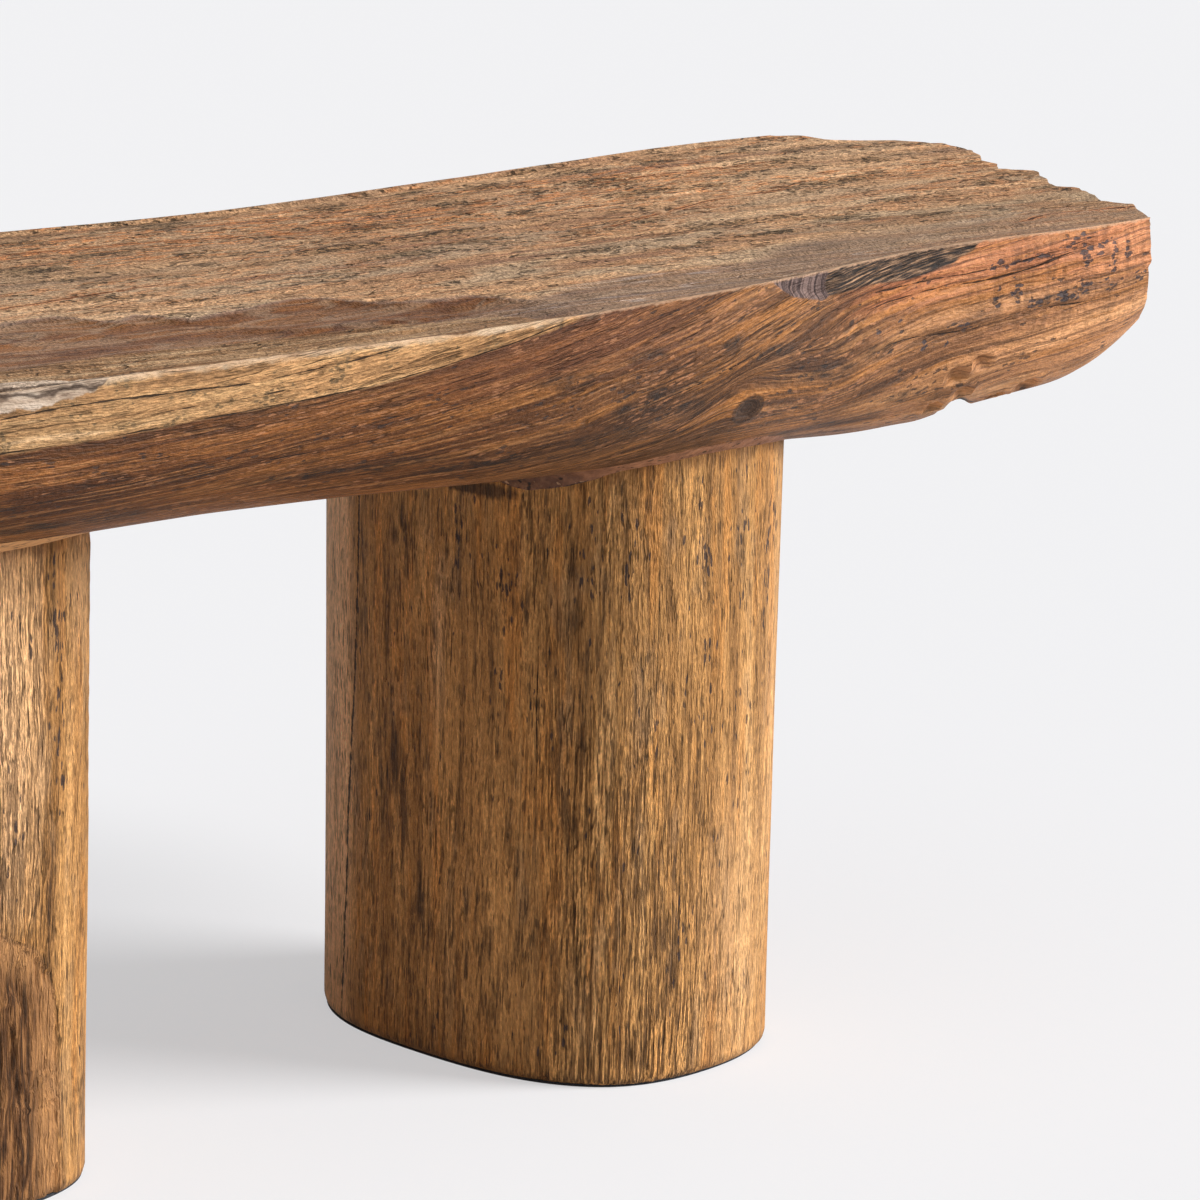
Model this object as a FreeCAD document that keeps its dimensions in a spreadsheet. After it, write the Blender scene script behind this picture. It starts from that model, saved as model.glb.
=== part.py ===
import FreeCAD, Part
import os
import Sketcher

# Solid wood bench: a half-log seat on two stump legs.
# Frame: +X along the seat, +Y to the back, +Z up, origin on the floor under the middle.

# Driving sizes, in millimetres and degrees, with what each one is
SIZES = (
    ("seat_length", 1200.0, "end to end"),
    ("seat_depth", 406.0, "front rim to back rim at the widest"),
    ("seat_height", 450.0, "floor to the rim at the ends"),
    ("seat_dip", 10.0, "how far the middle lies below the ends"),
    ("slab_thickness", 112.0, "rim to underside in the middle"),
    ("end_slant", 13.6, "degrees that the right end is sawn off square"),
    ("leg_overhang", 378.0, "from an end of the seat to the middle of a leg"),
    ("leg_inset", 6.0, "both legs lie this much to the front"),
    ("leg_width", 198.0, "along the seat"),
    ("leg_setback", 73.0, "seat left over before and behind a leg"),
    ("leg_turn", 11.7, "degrees that each leg is turned"),
    ("foot_pad_thickness", 1.5, "felt under each leg"),
    ("foot_pad_margin", 4.0, "bare rim around the felt"),
    ("filler_side_reach", 10.0, "how far the filler runs out beside a leg"),
    ("filler_front_reach", 5.0, "how far it runs out before and behind a leg"),
    ("filler_drop", 10.0, "how far the filler runs down the leg"),
    ("filler_edge", 0.8, "its thickness at the lower edge"),
    ("dowel_diameter", 24.0, "hardwood dowels between leg and seat"),
    ("dowel_length", 120.0, "half in the leg, half in the seat"),
    ("dowel_chamfer", 2.0, "at both ends of a dowel"),
    ("dowel_pitch_x", 92.0, "between the dowels along the seat"),
    ("dowel_pitch_y", 136.0, "between the dowels across the seat"),
    ("glue_gap", 0.15, "around a dowel"),
    ("dowel_end_gap", 2.0, "beyond each end of a dowel"),
    ("overrun", 20.0, "how far cutting shapes run past the wood"),
)

# Sections of the seat from left to right. Place as a share of half the length, then the front
# and the back rim as shares of half the depth, how far each rim has dipped, the thickness and
# the turn, each as a share of its own size.
SEAT_STATION_SHARES = (
    (-1.020, 0.720, 0.640, 0.00, 0.00, 0.490, 0.55),
    (-0.985, 0.780, 0.720, 0.00, 0.00, 0.630, 0.55),
    (-0.930, 0.850, 0.810, 0.00, 0.00, 0.790, 0.45),
    (-0.840, 0.920, 0.890, 0.00, 0.05, 0.915, 0.20),
    (-0.700, 0.985, 0.950, 0.10, 0.15, 0.985, 0.00),
    (-0.520, 1.000, 0.975, 0.30, 0.40, 1.005, 0.00),
    (-0.340, 0.990, 0.965, 0.50, 0.70, 0.985, 0.00),
    (-0.160, 0.970, 0.945, 0.50, 0.95, 0.945, 0.00),
    (0.000, 0.970, 0.925, 0.42, 1.00, 0.940, 0.00),
    (0.160, 0.980, 0.912, 0.15, 0.95, 0.970, 0.00),
    (0.320, 0.930, 0.920, 0.00, 0.75, 1.010, 0.00),
    (0.470, 0.825, 0.932, 0.00, 0.45, 1.020, 0.00),
    (0.620, 0.700, 0.952, 0.00, 0.15, 1.010, 0.00),
    (0.765, 0.668, 0.995, 0.00, 0.00, 0.975, 0.05),
    (0.862, 0.655, 1.000, 0.00, 0.00, 0.900, 0.40),
    (0.925, 0.645, 0.980, 0.00, 0.00, 0.800, 0.75),
    (0.975, 0.630, 0.930, 0.00, 0.00, 0.660, 1.00),
    (1.010, 0.605, 0.880, 0.00, 0.00, 0.530, 1.00),
)

# One side of the log under the rim: shares of the half width, then of the thickness
FLANK_SHARES = (
    (1.000, 0.000),
    (1.018, 0.180),
    (1.015, 0.560),
    (0.790, 0.905),
    (0.330, 1.005),
)

# Stepped saw cuts at the ends, as shares of half the length and of half the depth
RIGHT_END_SHARES = (
    (0.835, 1.250),
    (0.852, 1.010),
    (0.897, 0.961),
    (0.918, 0.842),
    (0.972, 0.759),
    (0.997, 0.660),
    (1.000, 0.576),
    (0.992, 0.448),
    (0.962, 0.241),
    (0.987, 0.143),
    (0.957, -0.054),
    (0.963, -0.123),
    (0.948, -0.266),
    (0.952, -0.345),
    (0.920, -0.547),
    (0.905, -0.640),
    (0.893, -0.760),
)
LEFT_END_SHARES = (
    (-0.925, 1.050),
    (-0.942, 0.730),
    (-0.953, 0.590),
    (-0.972, 0.520),
    (-0.969, 0.330),
    (-0.986, 0.260),
    (-0.981, 0.020),
    (-0.998, -0.080),
    (-0.994, -0.300),
    (-1.000, -0.420),
    (-0.984, -0.590),
    (-0.955, -0.700),
    (-0.915, -0.830),
    (-0.885, -1.050),
)
END_REACH_SHARE = 1.3

# Outline of a leg as control points, shares of half its width and of half its depth
RIGHT_LEG_SHARES = (
    (1.035, 0.005),
    (1.010, 0.540),
    (0.640, 0.960),
    (0.020, 1.045),
    (-0.620, 0.975),
    (-1.000, 0.560),
    (-1.035, 0.030),
    (-1.000, -0.570),
    (-0.650, -0.980),
    (-0.030, -1.050),
    (0.620, -0.970),
    (1.000, -0.560),
)
LEFT_LEG_SHARES = (
    (1.030, 0.020),
    (0.990, 0.570),
    (0.620, 0.970),
    (0.000, 1.050),
    (-0.640, 0.960),
    (-1.010, 0.550),
    (-1.030, -0.030),
    (-0.990, -0.560),
    (-0.630, -0.970),
    (0.010, -1.045),
    (0.680, -1.000),
    (1.010, -0.640),
)
# How a leg swells from the floor up: height as a share, then its size as a share
LEG_SWELL_SHARES = ((0.0, 0.985), (0.45, 0.985), (1.0, 0.996))
# The hollow of the filler: height as a share of its drop, then its reach as a share
FILLER_SHARES = ((-0.1, 0.0), (0.4, 0.15), (0.8, 0.45), (1.2, 0.85), (1.8, 1.15), (3.2, 1.3))
# How far under the seat's top a leg's blank ends, before the slab is cut out of it
BLANK_TOP_SHARE = 0.45

doc = FreeCAD.newDocument("bench")
sheet = doc.addObject("Spreadsheet::Sheet", "Sizes")
for row, (alias, size, meaning) in enumerate(SIZES, 1):
    sheet.set(f"A{row}", alias.replace("_", " "))
    sheet.set(f"B{row}", str(size))
    sheet.setAlias(f"B{row}", alias)
    sheet.set(f"C{row}", meaning)
doc.recompute()


def number(expression):
    """Give the value of an expression on the sheet as a plain number."""
    result = sheet.evalExpression(expression.replace("Sizes.", ""))
    return float(getattr(result, "Value", result))


def origin_plane(body, role):
    """Find one of a body's own origin planes by its role."""
    return next(plane for plane in body.Origin.OriginFeatures if plane.Role == role)


def new_body(label):
    """Start an empty body with a name and a label."""
    body = doc.addObject("PartDesign::Body", label)
    body.Label = label
    return body


def new_sketch(body, name, role, offset, turn=None):
    """Attach a sketch to a body's plane, moved along its normal and turned upright."""
    sketch = body.newObject("Sketcher::SketchObject", name)
    sketch.AttachmentSupport = [(origin_plane(body, role), "")]
    sketch.MapMode = "FlatFace"
    if turn:
        upright = FreeCAD.Rotation(FreeCAD.Vector(0, 1, 0), number(turn))
        sketch.AttachmentOffset = FreeCAD.Placement(FreeCAD.Vector(), upright)
        sketch.setExpression("AttachmentOffset.Rotation.Angle", turn)
    sketch.setExpression("AttachmentOffset.Base.z", offset)
    return sketch


def pin_point(sketch, geometry, position, across, along):
    """Hold a point of a sketch at two expressions measured from the sketch's origin."""
    for kind, expression in (("DistanceX", across), ("DistanceY", along)):
        distance = Sketcher.Constraint(kind, -1, 1, geometry, position, number(expression))
        index = sketch.addConstraint(distance)
        sketch.setExpression(f"Constraints[{index}]", expression)


def add_spline(sketch, poles, closed):
    """Draw a cubic spline whose control points are pairs of expressions."""
    points = [FreeCAD.Vector(number(across), number(along), 0) for across, along in poles]
    curve = Part.BSplineCurve(points, None, None, closed, 3, None, False)
    spline = sketch.addGeometry(curve, False)
    sketch.exposeInternalGeometry(spline)
    for place, (across, along) in enumerate(poles, 1):
        pin_point(sketch, spline + place, 3, across, along)
    return spline, points


def add_polygon(sketch, corners):
    """Draw a closed outline of straight lines whose corners are pairs of expressions."""
    points = [FreeCAD.Vector(number(across), number(along), 0) for across, along in corners]
    lines = []
    for start, end in zip(points, points[1:] + points[:1]):
        lines.append(sketch.addGeometry(Part.LineSegment(start, end), False))
    for line, following in zip(lines, lines[1:] + lines[:1]):
        sketch.addConstraint(Sketcher.Constraint("Coincident", line, 2, following, 1))
    for line, (across, along) in zip(lines, corners):
        pin_point(sketch, line, 1, across, along)


def loft(body, sketches, straight=False):
    """Skin a body through its sketches, smoothly or straight from each to the next."""
    skin = body.newObject("PartDesign::AdditiveLoft", f"{body.Name}_loft")
    skin.Profile = sketches[0]
    skin.Sections = sketches[1:]
    skin.Ruled = straight
    body.Tip = skin
    return skin


def cut(label, base, *tools):
    """Take each tool out of a shape in turn; the last result gets the label."""
    for step, tool in enumerate(tools, 1):
        result = doc.addObject("Part::Cut", f"{label}_cut_{step}")
        result.Base = base
        result.Tool = tool
        result.Label = label if step == len(tools) else result.Name
        base = result
    return base


# Seat slab: sections across the log, rim to rim on top and round below


def flank_pole(half, dip, depth, out, down):
    """Place one control point of the log's flank, below a rim that has dipped."""
    rim = f"Sizes.seat_height - Sizes.seat_dip * {dip}"
    height = f"(Sizes.slab_thickness * {depth} - Sizes.seat_dip * {dip})"
    return f"Sizes.seat_depth / 2 * ({half} * {out})", f"{rim} - {height} * {down}"


def seat_section(body, place, shares):
    """Draw one section of the log at its station."""
    along, front, back, front_dip, back_dip, depth, turn = shares
    sketch = new_sketch(
        body,
        f"seat_section_{place}",
        "YZ_Plane",
        f"Sizes.seat_length / 2 * {along}",
        f"-Sizes.end_slant * {turn}" if turn else None,
    )
    poles = [flank_pole(-front, front_dip, depth, *pole) for pole in FLANK_SHARES]
    poles += [flank_pole(back, back_dip, depth, *pole) for pole in reversed(FLANK_SHARES)]
    spline, points = add_spline(sketch, poles, False)
    top = sketch.addGeometry(Part.LineSegment(points[-1], points[0]), False)
    sketch.addConstraint(Sketcher.Constraint("Coincident", spline, 2, top, 1))
    sketch.addConstraint(Sketcher.Constraint("Coincident", top, 2, spline, 1))
    return sketch


def saw_end(body, name, outline_shares, side):
    """Saw one end of the seat along its stepped outline."""
    reach = side * END_REACH_SHARE
    sketch = new_sketch(body, f"{name}_outline", "XY_Plane", "Sizes.seat_height + Sizes.overrun")
    corners = outline_shares + ((reach, -END_REACH_SHARE), (reach, END_REACH_SHARE))
    add_polygon(
        sketch,
        [
            (f"Sizes.seat_length / 2 * {along}", f"Sizes.seat_depth / 2 * {across}")
            for along, across in corners
        ],
    )
    pocket = body.newObject("PartDesign::Pocket", name)
    pocket.Profile = sketch
    pocket.setExpression("Length", "Sizes.slab_thickness + 2 * Sizes.overrun")
    body.Tip = pocket
    return pocket


def lowered(name, source, drop):
    """Copy a shape and move the copy down by a length."""
    copy = doc.addObject("Part::Compound", name)
    copy.Links = [source]
    copy.setExpression("Placement.Base.z", f"-({drop})")
    return copy


log = new_body("seat_log")
loft(log, [seat_section(log, place, row) for place, row in enumerate(SEAT_STATION_SHARES, 1)])
saw_end(log, "right_end", RIGHT_END_SHARES, 1)
saw_end(log, "left_end", LEFT_END_SHARES, -1)
filler_limit = lowered("filler_limit", log, "Sizes.filler_drop")

# Legs, foot pads, fillers and dowels: one set for each side

JOINT_LEVEL = "(Sizes.seat_height - Sizes.slab_thickness)"


def stand(thing, side):
    """Put a leg's piece at the middle of its leg and turn it with the leg."""
    turn = FreeCAD.Rotation(FreeCAD.Vector(0, 0, 1), number("Sizes.leg_turn"))
    thing.Placement = FreeCAD.Placement(FreeCAD.Vector(), turn)
    thing.setExpression("Placement.Base.x", f"(Sizes.seat_length / 2 - Sizes.leg_overhang) * {side}")
    thing.setExpression("Placement.Base.y", "-Sizes.leg_inset")
    thing.setExpression("Placement.Rotation.Angle", "Sizes.leg_turn")


def leg_outline(body, name, outline_shares, level, swell="1", beside="0", before="0"):
    """Draw a leg's outline at a height, swollen by a share and offset by two lengths."""
    sketch = new_sketch(body, name, "XY_Plane", level)
    half_width = f"(Sizes.leg_width / 2 * {swell} + {beside})"
    half_depth = f"((Sizes.seat_depth / 2 - Sizes.leg_setback) * {swell} + {before})"
    poles = [
        (f"{half_width} * {across}", f"{half_depth} * {along}")
        for across, along in outline_shares
    ]
    add_spline(sketch, poles, True)
    return sketch


def leg_blank(name, outline_shares, side):
    """Build a leg from the foot pad to a height inside the slab."""
    body = new_body(f"{name}_blank")
    top = f"(Sizes.seat_height - Sizes.slab_thickness * {BLANK_TOP_SHARE})"
    foot = "Sizes.foot_pad_thickness"
    sections = []
    for place, (height, swell) in enumerate(LEG_SWELL_SHARES, 1):
        level = f"{foot} + ({top} - {foot}) * {height}"
        label = f"{name}_outline_{place}"
        sections.append(leg_outline(body, label, outline_shares, level, swell))
    loft(body, sections)
    stand(body, side)
    return body


def filler_blank(name, outline_shares, side):
    """Build the flare that fills the corner between leg and seat."""
    body = new_body(f"{name}_blank")
    sections = []
    for place, (rise, reach) in enumerate(FILLER_SHARES, 1):
        level = f"{JOINT_LEVEL} + Sizes.filler_drop * ({rise} - 1)"
        beside = f"Sizes.filler_edge + Sizes.filler_side_reach * {reach}"
        before = f"Sizes.filler_edge + Sizes.filler_front_reach * {reach}"
        label = f"{name}_outline_{place}"
        sections.append(leg_outline(body, label, outline_shares, level, "1", beside, before))
    loft(body, sections, straight=True)
    stand(body, side)
    band = doc.addObject("Part::Common", f"{name}_band")
    band.Base = body
    band.Tool = filler_limit
    return band


def foot_pad(name, outline_shares, side):
    """Build the felt under a leg."""
    body = new_body(name)
    margin = "-Sizes.foot_pad_margin"
    sketch = leg_outline(body, f"{name}_outline", outline_shares, "0", "1", margin, margin)
    pad = body.newObject("PartDesign::Pad", f"{name}_felt")
    pad.Profile = sketch
    pad.setExpression("Length", "Sizes.foot_pad_thickness")
    body.Tip = pad
    stand(body, side)
    return body


def peg(body, radius, low, length, place_x, place_y):
    """Pad a round peg upwards from a height, at a place in the leg's own frame."""
    sketch = new_sketch(body, f"{body.Name}_circle", "XY_Plane", low)
    middle = FreeCAD.Vector(number(place_x), number(place_y), 0)
    axis = FreeCAD.Vector(0, 0, 1)
    circle = sketch.addGeometry(Part.Circle(middle, axis, number(radius)), False)
    pin_point(sketch, circle, 3, place_x, place_y)
    index = sketch.addConstraint(Sketcher.Constraint("Radius", circle, number(radius)))
    sketch.setExpression(f"Constraints[{index}]", radius)
    pad = body.newObject("PartDesign::Pad", f"{body.Name}_pad")
    pad.Profile = sketch
    pad.setExpression("Length", length)
    body.Tip = pad
    return pad


def dowel(name, side, place_x, place_y):
    """Build one dowel across the joint, chamfered at both ends."""
    body = new_body(name)
    low = f"{JOINT_LEVEL} - Sizes.dowel_length / 2"
    pad = peg(body, "Sizes.dowel_diameter / 2", low, "Sizes.dowel_length", place_x, place_y)
    doc.recompute()
    ends = [
        f"Edge{index}"
        for index, edge in enumerate(pad.Shape.Edges, 1)
        if isinstance(edge.Curve, Part.Circle)
    ]
    chamfer = body.newObject("PartDesign::Chamfer", f"{name}_chamfer")
    chamfer.Base = (pad, ends)
    chamfer.setExpression("Size", "Sizes.dowel_chamfer")
    body.Tip = chamfer
    stand(body, side)
    return body


def dowel_hole(name, side, place_x, place_y):
    """Build the drilled space around one dowel."""
    body = new_body(name)
    low = f"{JOINT_LEVEL} - Sizes.dowel_length / 2 - Sizes.dowel_end_gap"
    length = "Sizes.dowel_length + 2 * Sizes.dowel_end_gap"
    peg(body, "Sizes.dowel_diameter / 2 + Sizes.glue_gap", low, length, place_x, place_y)
    stand(body, side)
    return body


DOWEL_CORNERS = ((-1, -1), (1, -1), (1, 1), (-1, 1))
pieces = []
all_holes = []
for hand, side, outline_shares in (("right", 1, RIGHT_LEG_SHARES), ("left", -1, LEFT_LEG_SHARES)):
    holes = []
    for place, (across, along) in enumerate(DOWEL_CORNERS, 1):
        place_x = f"Sizes.dowel_pitch_x / 2 * {across}"
        place_y = f"Sizes.dowel_pitch_y / 2 * {along}"
        pieces.append(dowel(f"dowel_{hand}_{place}", side, place_x, place_y))
        holes.append(dowel_hole(f"hole_{hand}_{place}", side, place_x, place_y))
    blank = leg_blank(f"leg_{hand}", outline_shares, side)
    flare = filler_blank(f"joint_filler_{hand}", outline_shares, side)
    pieces.append(foot_pad(f"foot_pad_{hand}", outline_shares, side))
    pieces.append(cut(f"leg_{hand}", blank, log, *holes))
    pieces.append(cut(f"joint_filler_{hand}", flare, blank, log))
    all_holes += holes
pieces.append(cut("seat_slab", log, *all_holes))
doc.recompute()

# Checks before anything is written: every object built, every piece one valid solid

failed = [thing.Name for thing in doc.Objects if {"Invalid", "Error"} & set(thing.State)]
if failed:
    raise RuntimeError(f"these objects failed: {failed}")
for piece in pieces:
    shape = piece.Shape
    if shape.isNull() or not shape.isValid() or len(shape.Solids) != 1:
        raise RuntimeError(f"{piece.Label} is not one valid solid")

os.makedirs("parts", exist_ok=True)
for piece in pieces:
    piece.Shape.exportStep(os.path.join("parts", f"{piece.Label}.step"))
    box = piece.Shape.optimalBoundingBox(True)
    low = f"{box.XMin:.1f} {box.YMin:.1f} {box.ZMin:.1f}"
    high = f"{box.XMax:.1f} {box.YMax:.1f} {box.ZMax:.1f}"
    print(f"{piece.Label}: {low} to {high}, {piece.Shape.Volume / 1000:.1f} cm3")
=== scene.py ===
"""Rustic solid wood bench: a half-log seat on two stump legs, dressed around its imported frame."""

import itertools
import logging
import math
from dataclasses import dataclass
from enum import Enum
from functools import cache, reduce
from typing import Callable, Dict, Optional, Sequence, Tuple, Union

import bpy
import numpy as np
from mathutils import Matrix, Vector


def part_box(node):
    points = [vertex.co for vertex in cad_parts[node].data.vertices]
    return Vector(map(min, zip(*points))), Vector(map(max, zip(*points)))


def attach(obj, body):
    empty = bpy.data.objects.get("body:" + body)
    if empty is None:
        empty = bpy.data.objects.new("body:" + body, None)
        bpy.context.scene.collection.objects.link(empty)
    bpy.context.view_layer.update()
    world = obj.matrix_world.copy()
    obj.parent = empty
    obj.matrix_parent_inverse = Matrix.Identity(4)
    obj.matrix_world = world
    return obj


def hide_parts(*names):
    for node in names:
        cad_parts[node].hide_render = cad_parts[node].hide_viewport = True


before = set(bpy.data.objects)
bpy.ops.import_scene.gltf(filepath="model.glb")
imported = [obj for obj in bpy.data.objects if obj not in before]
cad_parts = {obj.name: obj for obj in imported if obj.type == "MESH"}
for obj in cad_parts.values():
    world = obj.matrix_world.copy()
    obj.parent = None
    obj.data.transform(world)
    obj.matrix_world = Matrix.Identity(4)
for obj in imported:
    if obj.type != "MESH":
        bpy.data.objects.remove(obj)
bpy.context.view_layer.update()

MM = 0.001
PAPER = (0.88, 0.88, 0.895, 1)
DAYLIGHT = (1, 0.99, 0.98, 1)
FLOOR_GLOW = (0.935, 0.935, 0.952, 1)
FLOOR_PAINT = (0.8, 0.8, 0.815, 1)

Array = np.ndarray
Masks = Dict[str, Array]
Surface = Callable[[Array, Array], Array]
Row = Tuple[float, ...]
Line = Sequence[Tuple[float, float]]
Cracks = Sequence[Tuple[Line, float, float, float]]
Piece = bpy.types.Object
Material = bpy.types.Material
Node = bpy.types.Node
Tree = bpy.types.NodeTree
Socket = bpy.types.NodeSocket
Feed = Union[float, Sequence[float], Socket]

log = logging.getLogger("bench")


# Numbers and curves


def lattice_noise(points: Array, seed: int) -> Array:
    """Give smooth noise between about -1 and 1.

    Args:
        points: coordinates, one unit to a cell.
        seed: picks the pattern.

    Returns:
        A value for each point.
    """
    flat = points.reshape(-1, 3)
    cell = np.floor(flat).astype(np.int64)
    part = flat - cell
    fade = part**3 * (part * (6 * part - 15) + 10)
    total = np.zeros(len(flat))
    for corner in itertools.product((0, 1), repeat=3):
        key = (cell + corner) @ np.array([73856093, 19349663, 83492791]) + seed * 7919
        key = ((key & 0xFFFFFFF) * 2654435761) & 0xFFFFFFFF
        key = ((key ^ (key >> 15)) * 2246822519) & 0xFFFFFFFF
        value = ((key ^ (key >> 13)) & 0xFFFF) / 32767.5 - 1
        total += value * np.prod(np.where(corner, fade, 1 - fade), axis=1)
    return total.reshape(points.shape[:-1])


def rough(points: Array, size: Sequence[float], seed: int, octaves: int = 3) -> Array:
    """Add up octaves of noise.

    Args:
        points: coordinates in millimetres.
        size: of a first cell along each axis.
        seed: picks the pattern.
        octaves: layers, each half as large and strong.

    Returns:
        A value between about -1 and 1 for each point.
    """
    total = np.zeros(points.shape[:-1])
    for octave in range(octaves):
        scaled = points / (np.array(size) / 2.03**octave) + 31.7 * octave
        total += lattice_noise(scaled, seed + 101 * octave) * 0.5**octave
    return total / (2 - 0.5 ** (octaves - 1))


def spline_rows(stations: Array, at: Array) -> Array:
    """Interpolate the columns of a table with natural cubic splines.

    Args:
        stations: rows of a place and its values.
        at: places to work out.

    Returns:
        A row of values for each place.
    """
    place, value = stations[:, 0], stations[:, 1:]
    count, step = len(place), np.diff(place)
    system, right = np.eye(count), np.zeros_like(value)
    for row in range(1, count - 1):
        system[row, row - 1] = step[row - 1]
        system[row, row] = 2 * (step[row - 1] + step[row])
        system[row, row + 1] = step[row]
        slopes = (value[row + 1] - value[row]) / step[row]
        right[row] = 6 * (slopes - (value[row] - value[row - 1]) / step[row - 1])
    bend = np.linalg.solve(system, right)
    at = np.clip(at, place[0], place[-1])
    low = np.clip(np.searchsorted(place, at) - 1, 0, count - 2)
    width = step[low][..., None]
    left = (place[low + 1] - at)[..., None] / width
    share = 1 - left
    curve = (left**3 - left) * bend[low] + (share**3 - share) * bend[low + 1]
    return left * value[low] + share * value[low + 1] + curve * width**2 / 6


def along_line(line: Line, at: Array) -> Array:
    """Read a smooth line of listed points, (place, value), at each place."""
    table = np.array(line, float)
    return spline_rows(table, at)[..., 0]


def along_pieces(line: Line, at: Array) -> Array:
    """Read a line of straight pieces at each place."""
    return np.interp(at, *zip(*line))


def vectors(*parts: Union[float, Array]) -> Array:
    """Put coordinates together as vectors; each is an array or one number for all."""
    return np.stack(np.broadcast_arrays(*parts), axis=-1)


def between(first: Array, last: Array, share: Array) -> Array:
    """Blend from the first array at share 0 to the last one at share 1."""
    return first * (1 - share) + last * share


def closed(rings: Array) -> Array:
    """Repeat the first sample of every ring after its last one."""
    return np.concatenate([rings, rings[:, :1]], axis=1)


def off_spot(x: Array, y: Array, spot: Row) -> Array:
    """Give how far points are from a spot's place, 1 where its half sizes end."""
    at_x, at_y, wide, tall = spot
    return np.hypot((x - at_x) / wide, (y - at_y) / tall)


def clamped_basis(t: Array, poles: int) -> Array:
    """Weigh the control points of a clamped uniform cubic B-spline.

    Args:
        t: places, 0 to 1.
        poles: how many control points.

    Returns:
        The control points' weights at each place.
    """
    knots = np.concatenate([[0] * 3, np.arange(poles - 2), [poles - 3] * 3]).astype(float)
    at = np.clip(t, 0, 1 - 1e-9) * (poles - 3)
    weights = [((low <= at) & (at < high)).astype(float) for low, high in zip(knots, knots[1:])]
    for degree in (1, 2, 3):
        raised = []
        for place in range(len(weights) - 1):
            left = knots[place + degree] - knots[place]
            right = knots[place + degree + 1] - knots[place + 1]
            total = np.zeros_like(at)
            if left > 0:
                total = total + (at - knots[place]) / left * weights[place]
            if right > 0:
                total = total + (knots[place + degree + 1] - at) / right * weights[place + 1]
            raised.append(total)
        weights = raised
    return np.stack(weights, axis=-1)


def periodic_curve(poles: Array, count: int) -> Array:
    """Sample a closed cubic B-spline at equal steps.

    Args:
        poles: control points.
        count: how many samples.

    Returns:
        The samples.
    """
    at = np.arange(count) / count * len(poles)
    low = np.floor(at).astype(int)
    part = (at - low)[:, None]
    weights = (
        (1 - part) ** 3 / 6,
        (3 * part**3 - 6 * part**2 + 4) / 6,
        (-3 * part**3 + 3 * part**2 + 3 * part + 1) / 6,
        part**3 / 6,
    )
    return sum(w * poles[(low + shift) % len(poles)] for shift, w in enumerate(weights))


def ease(value: Array, low: float, high: float) -> Array:
    """Rise smoothly from 0 at low to 1 at high."""
    part = np.clip((value - low) / (high - low), 0, 1)
    return part * part * (3 - 2 * part)


def bell(value: Array, middle: float, width: float) -> Array:
    """Give a bump of height 1 round a middle."""
    return np.exp(-(((value - middle) / width) ** 2))


def strewn(x: Array, y: Array, spots: Sequence[Row]) -> Array:
    """Lay soft spots over a surface.

    Args:
        x: first coordinate of each point.
        y: second coordinate.
        spots: place, half sizes and, if given, strength; one below 0 lowers the result.

    Returns:
        The strongest spot at each point, less the strongest lowering one.
    """
    high, low = 0 * x, 0 * x
    for at_x, at_y, wide, tall, *strength in spots:
        soft = np.exp(-(((x - at_x) / wide) ** 2) - ((y - at_y) / tall) ** 2)
        soft = soft * (strength[0] if strength else 1)
        high, low = np.maximum(high, soft), np.minimum(low, soft)
    return high + low


def crack_field(cracks: Cracks, along: Array, across: Array, seed: int) -> Array:
    """Measure how far points are from cracks that never meet.

    Args:
        cracks: lines, where each opens and ends, and its half width.
        along: place along them.
        across: place across them.
        seed: picks how they wander.

    Returns:
        Signed distance, half width and 0 as a vector, in metres.
    """
    wiggle = vectors(along, 0, 0)
    nearest, half, sign = np.full(along.shape, 1e3), np.zeros(along.shape), np.ones(along.shape)
    for step, (line, opens, ends, wide) in enumerate(cracks):
        off = across - along_line(line, along) - 0.8 * rough(wiggle, (30, 1, 1), seed + step, 3)
        width = wide * np.clip(np.minimum(along - opens, ends - along) / 16, -1, 1)
        closer = np.abs(off) < nearest
        nearest = np.where(closer, np.abs(off), nearest)
        half = np.where(closer, width, half)
        sign = sign * np.where(off > 0, 1, -1)
    return vectors(nearest * sign, half, 0) * MM


def spread(count: int, weights: Sequence[Tuple[float, float]]) -> Array:
    """Place samples from 0 to 1, closer together where the density is large.

    Args:
        count: how many steps.
        weights: places and densities.

    Returns:
        The count + 1 places.
    """
    fine = np.linspace(0, 1, 2001)
    places, density = zip(*weights)
    total = np.cumsum(np.interp(fine, places, density))
    total = (total - total[0]) / (total[-1] - total[0])
    return np.interp(np.linspace(0, 1, count + 1), total, fine)


# Meshes

MERGE_WITHIN = 2e-5
DISSOLVE_BELOW = 1e-6
SHARP_ANGLE = math.radians(42)


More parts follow.
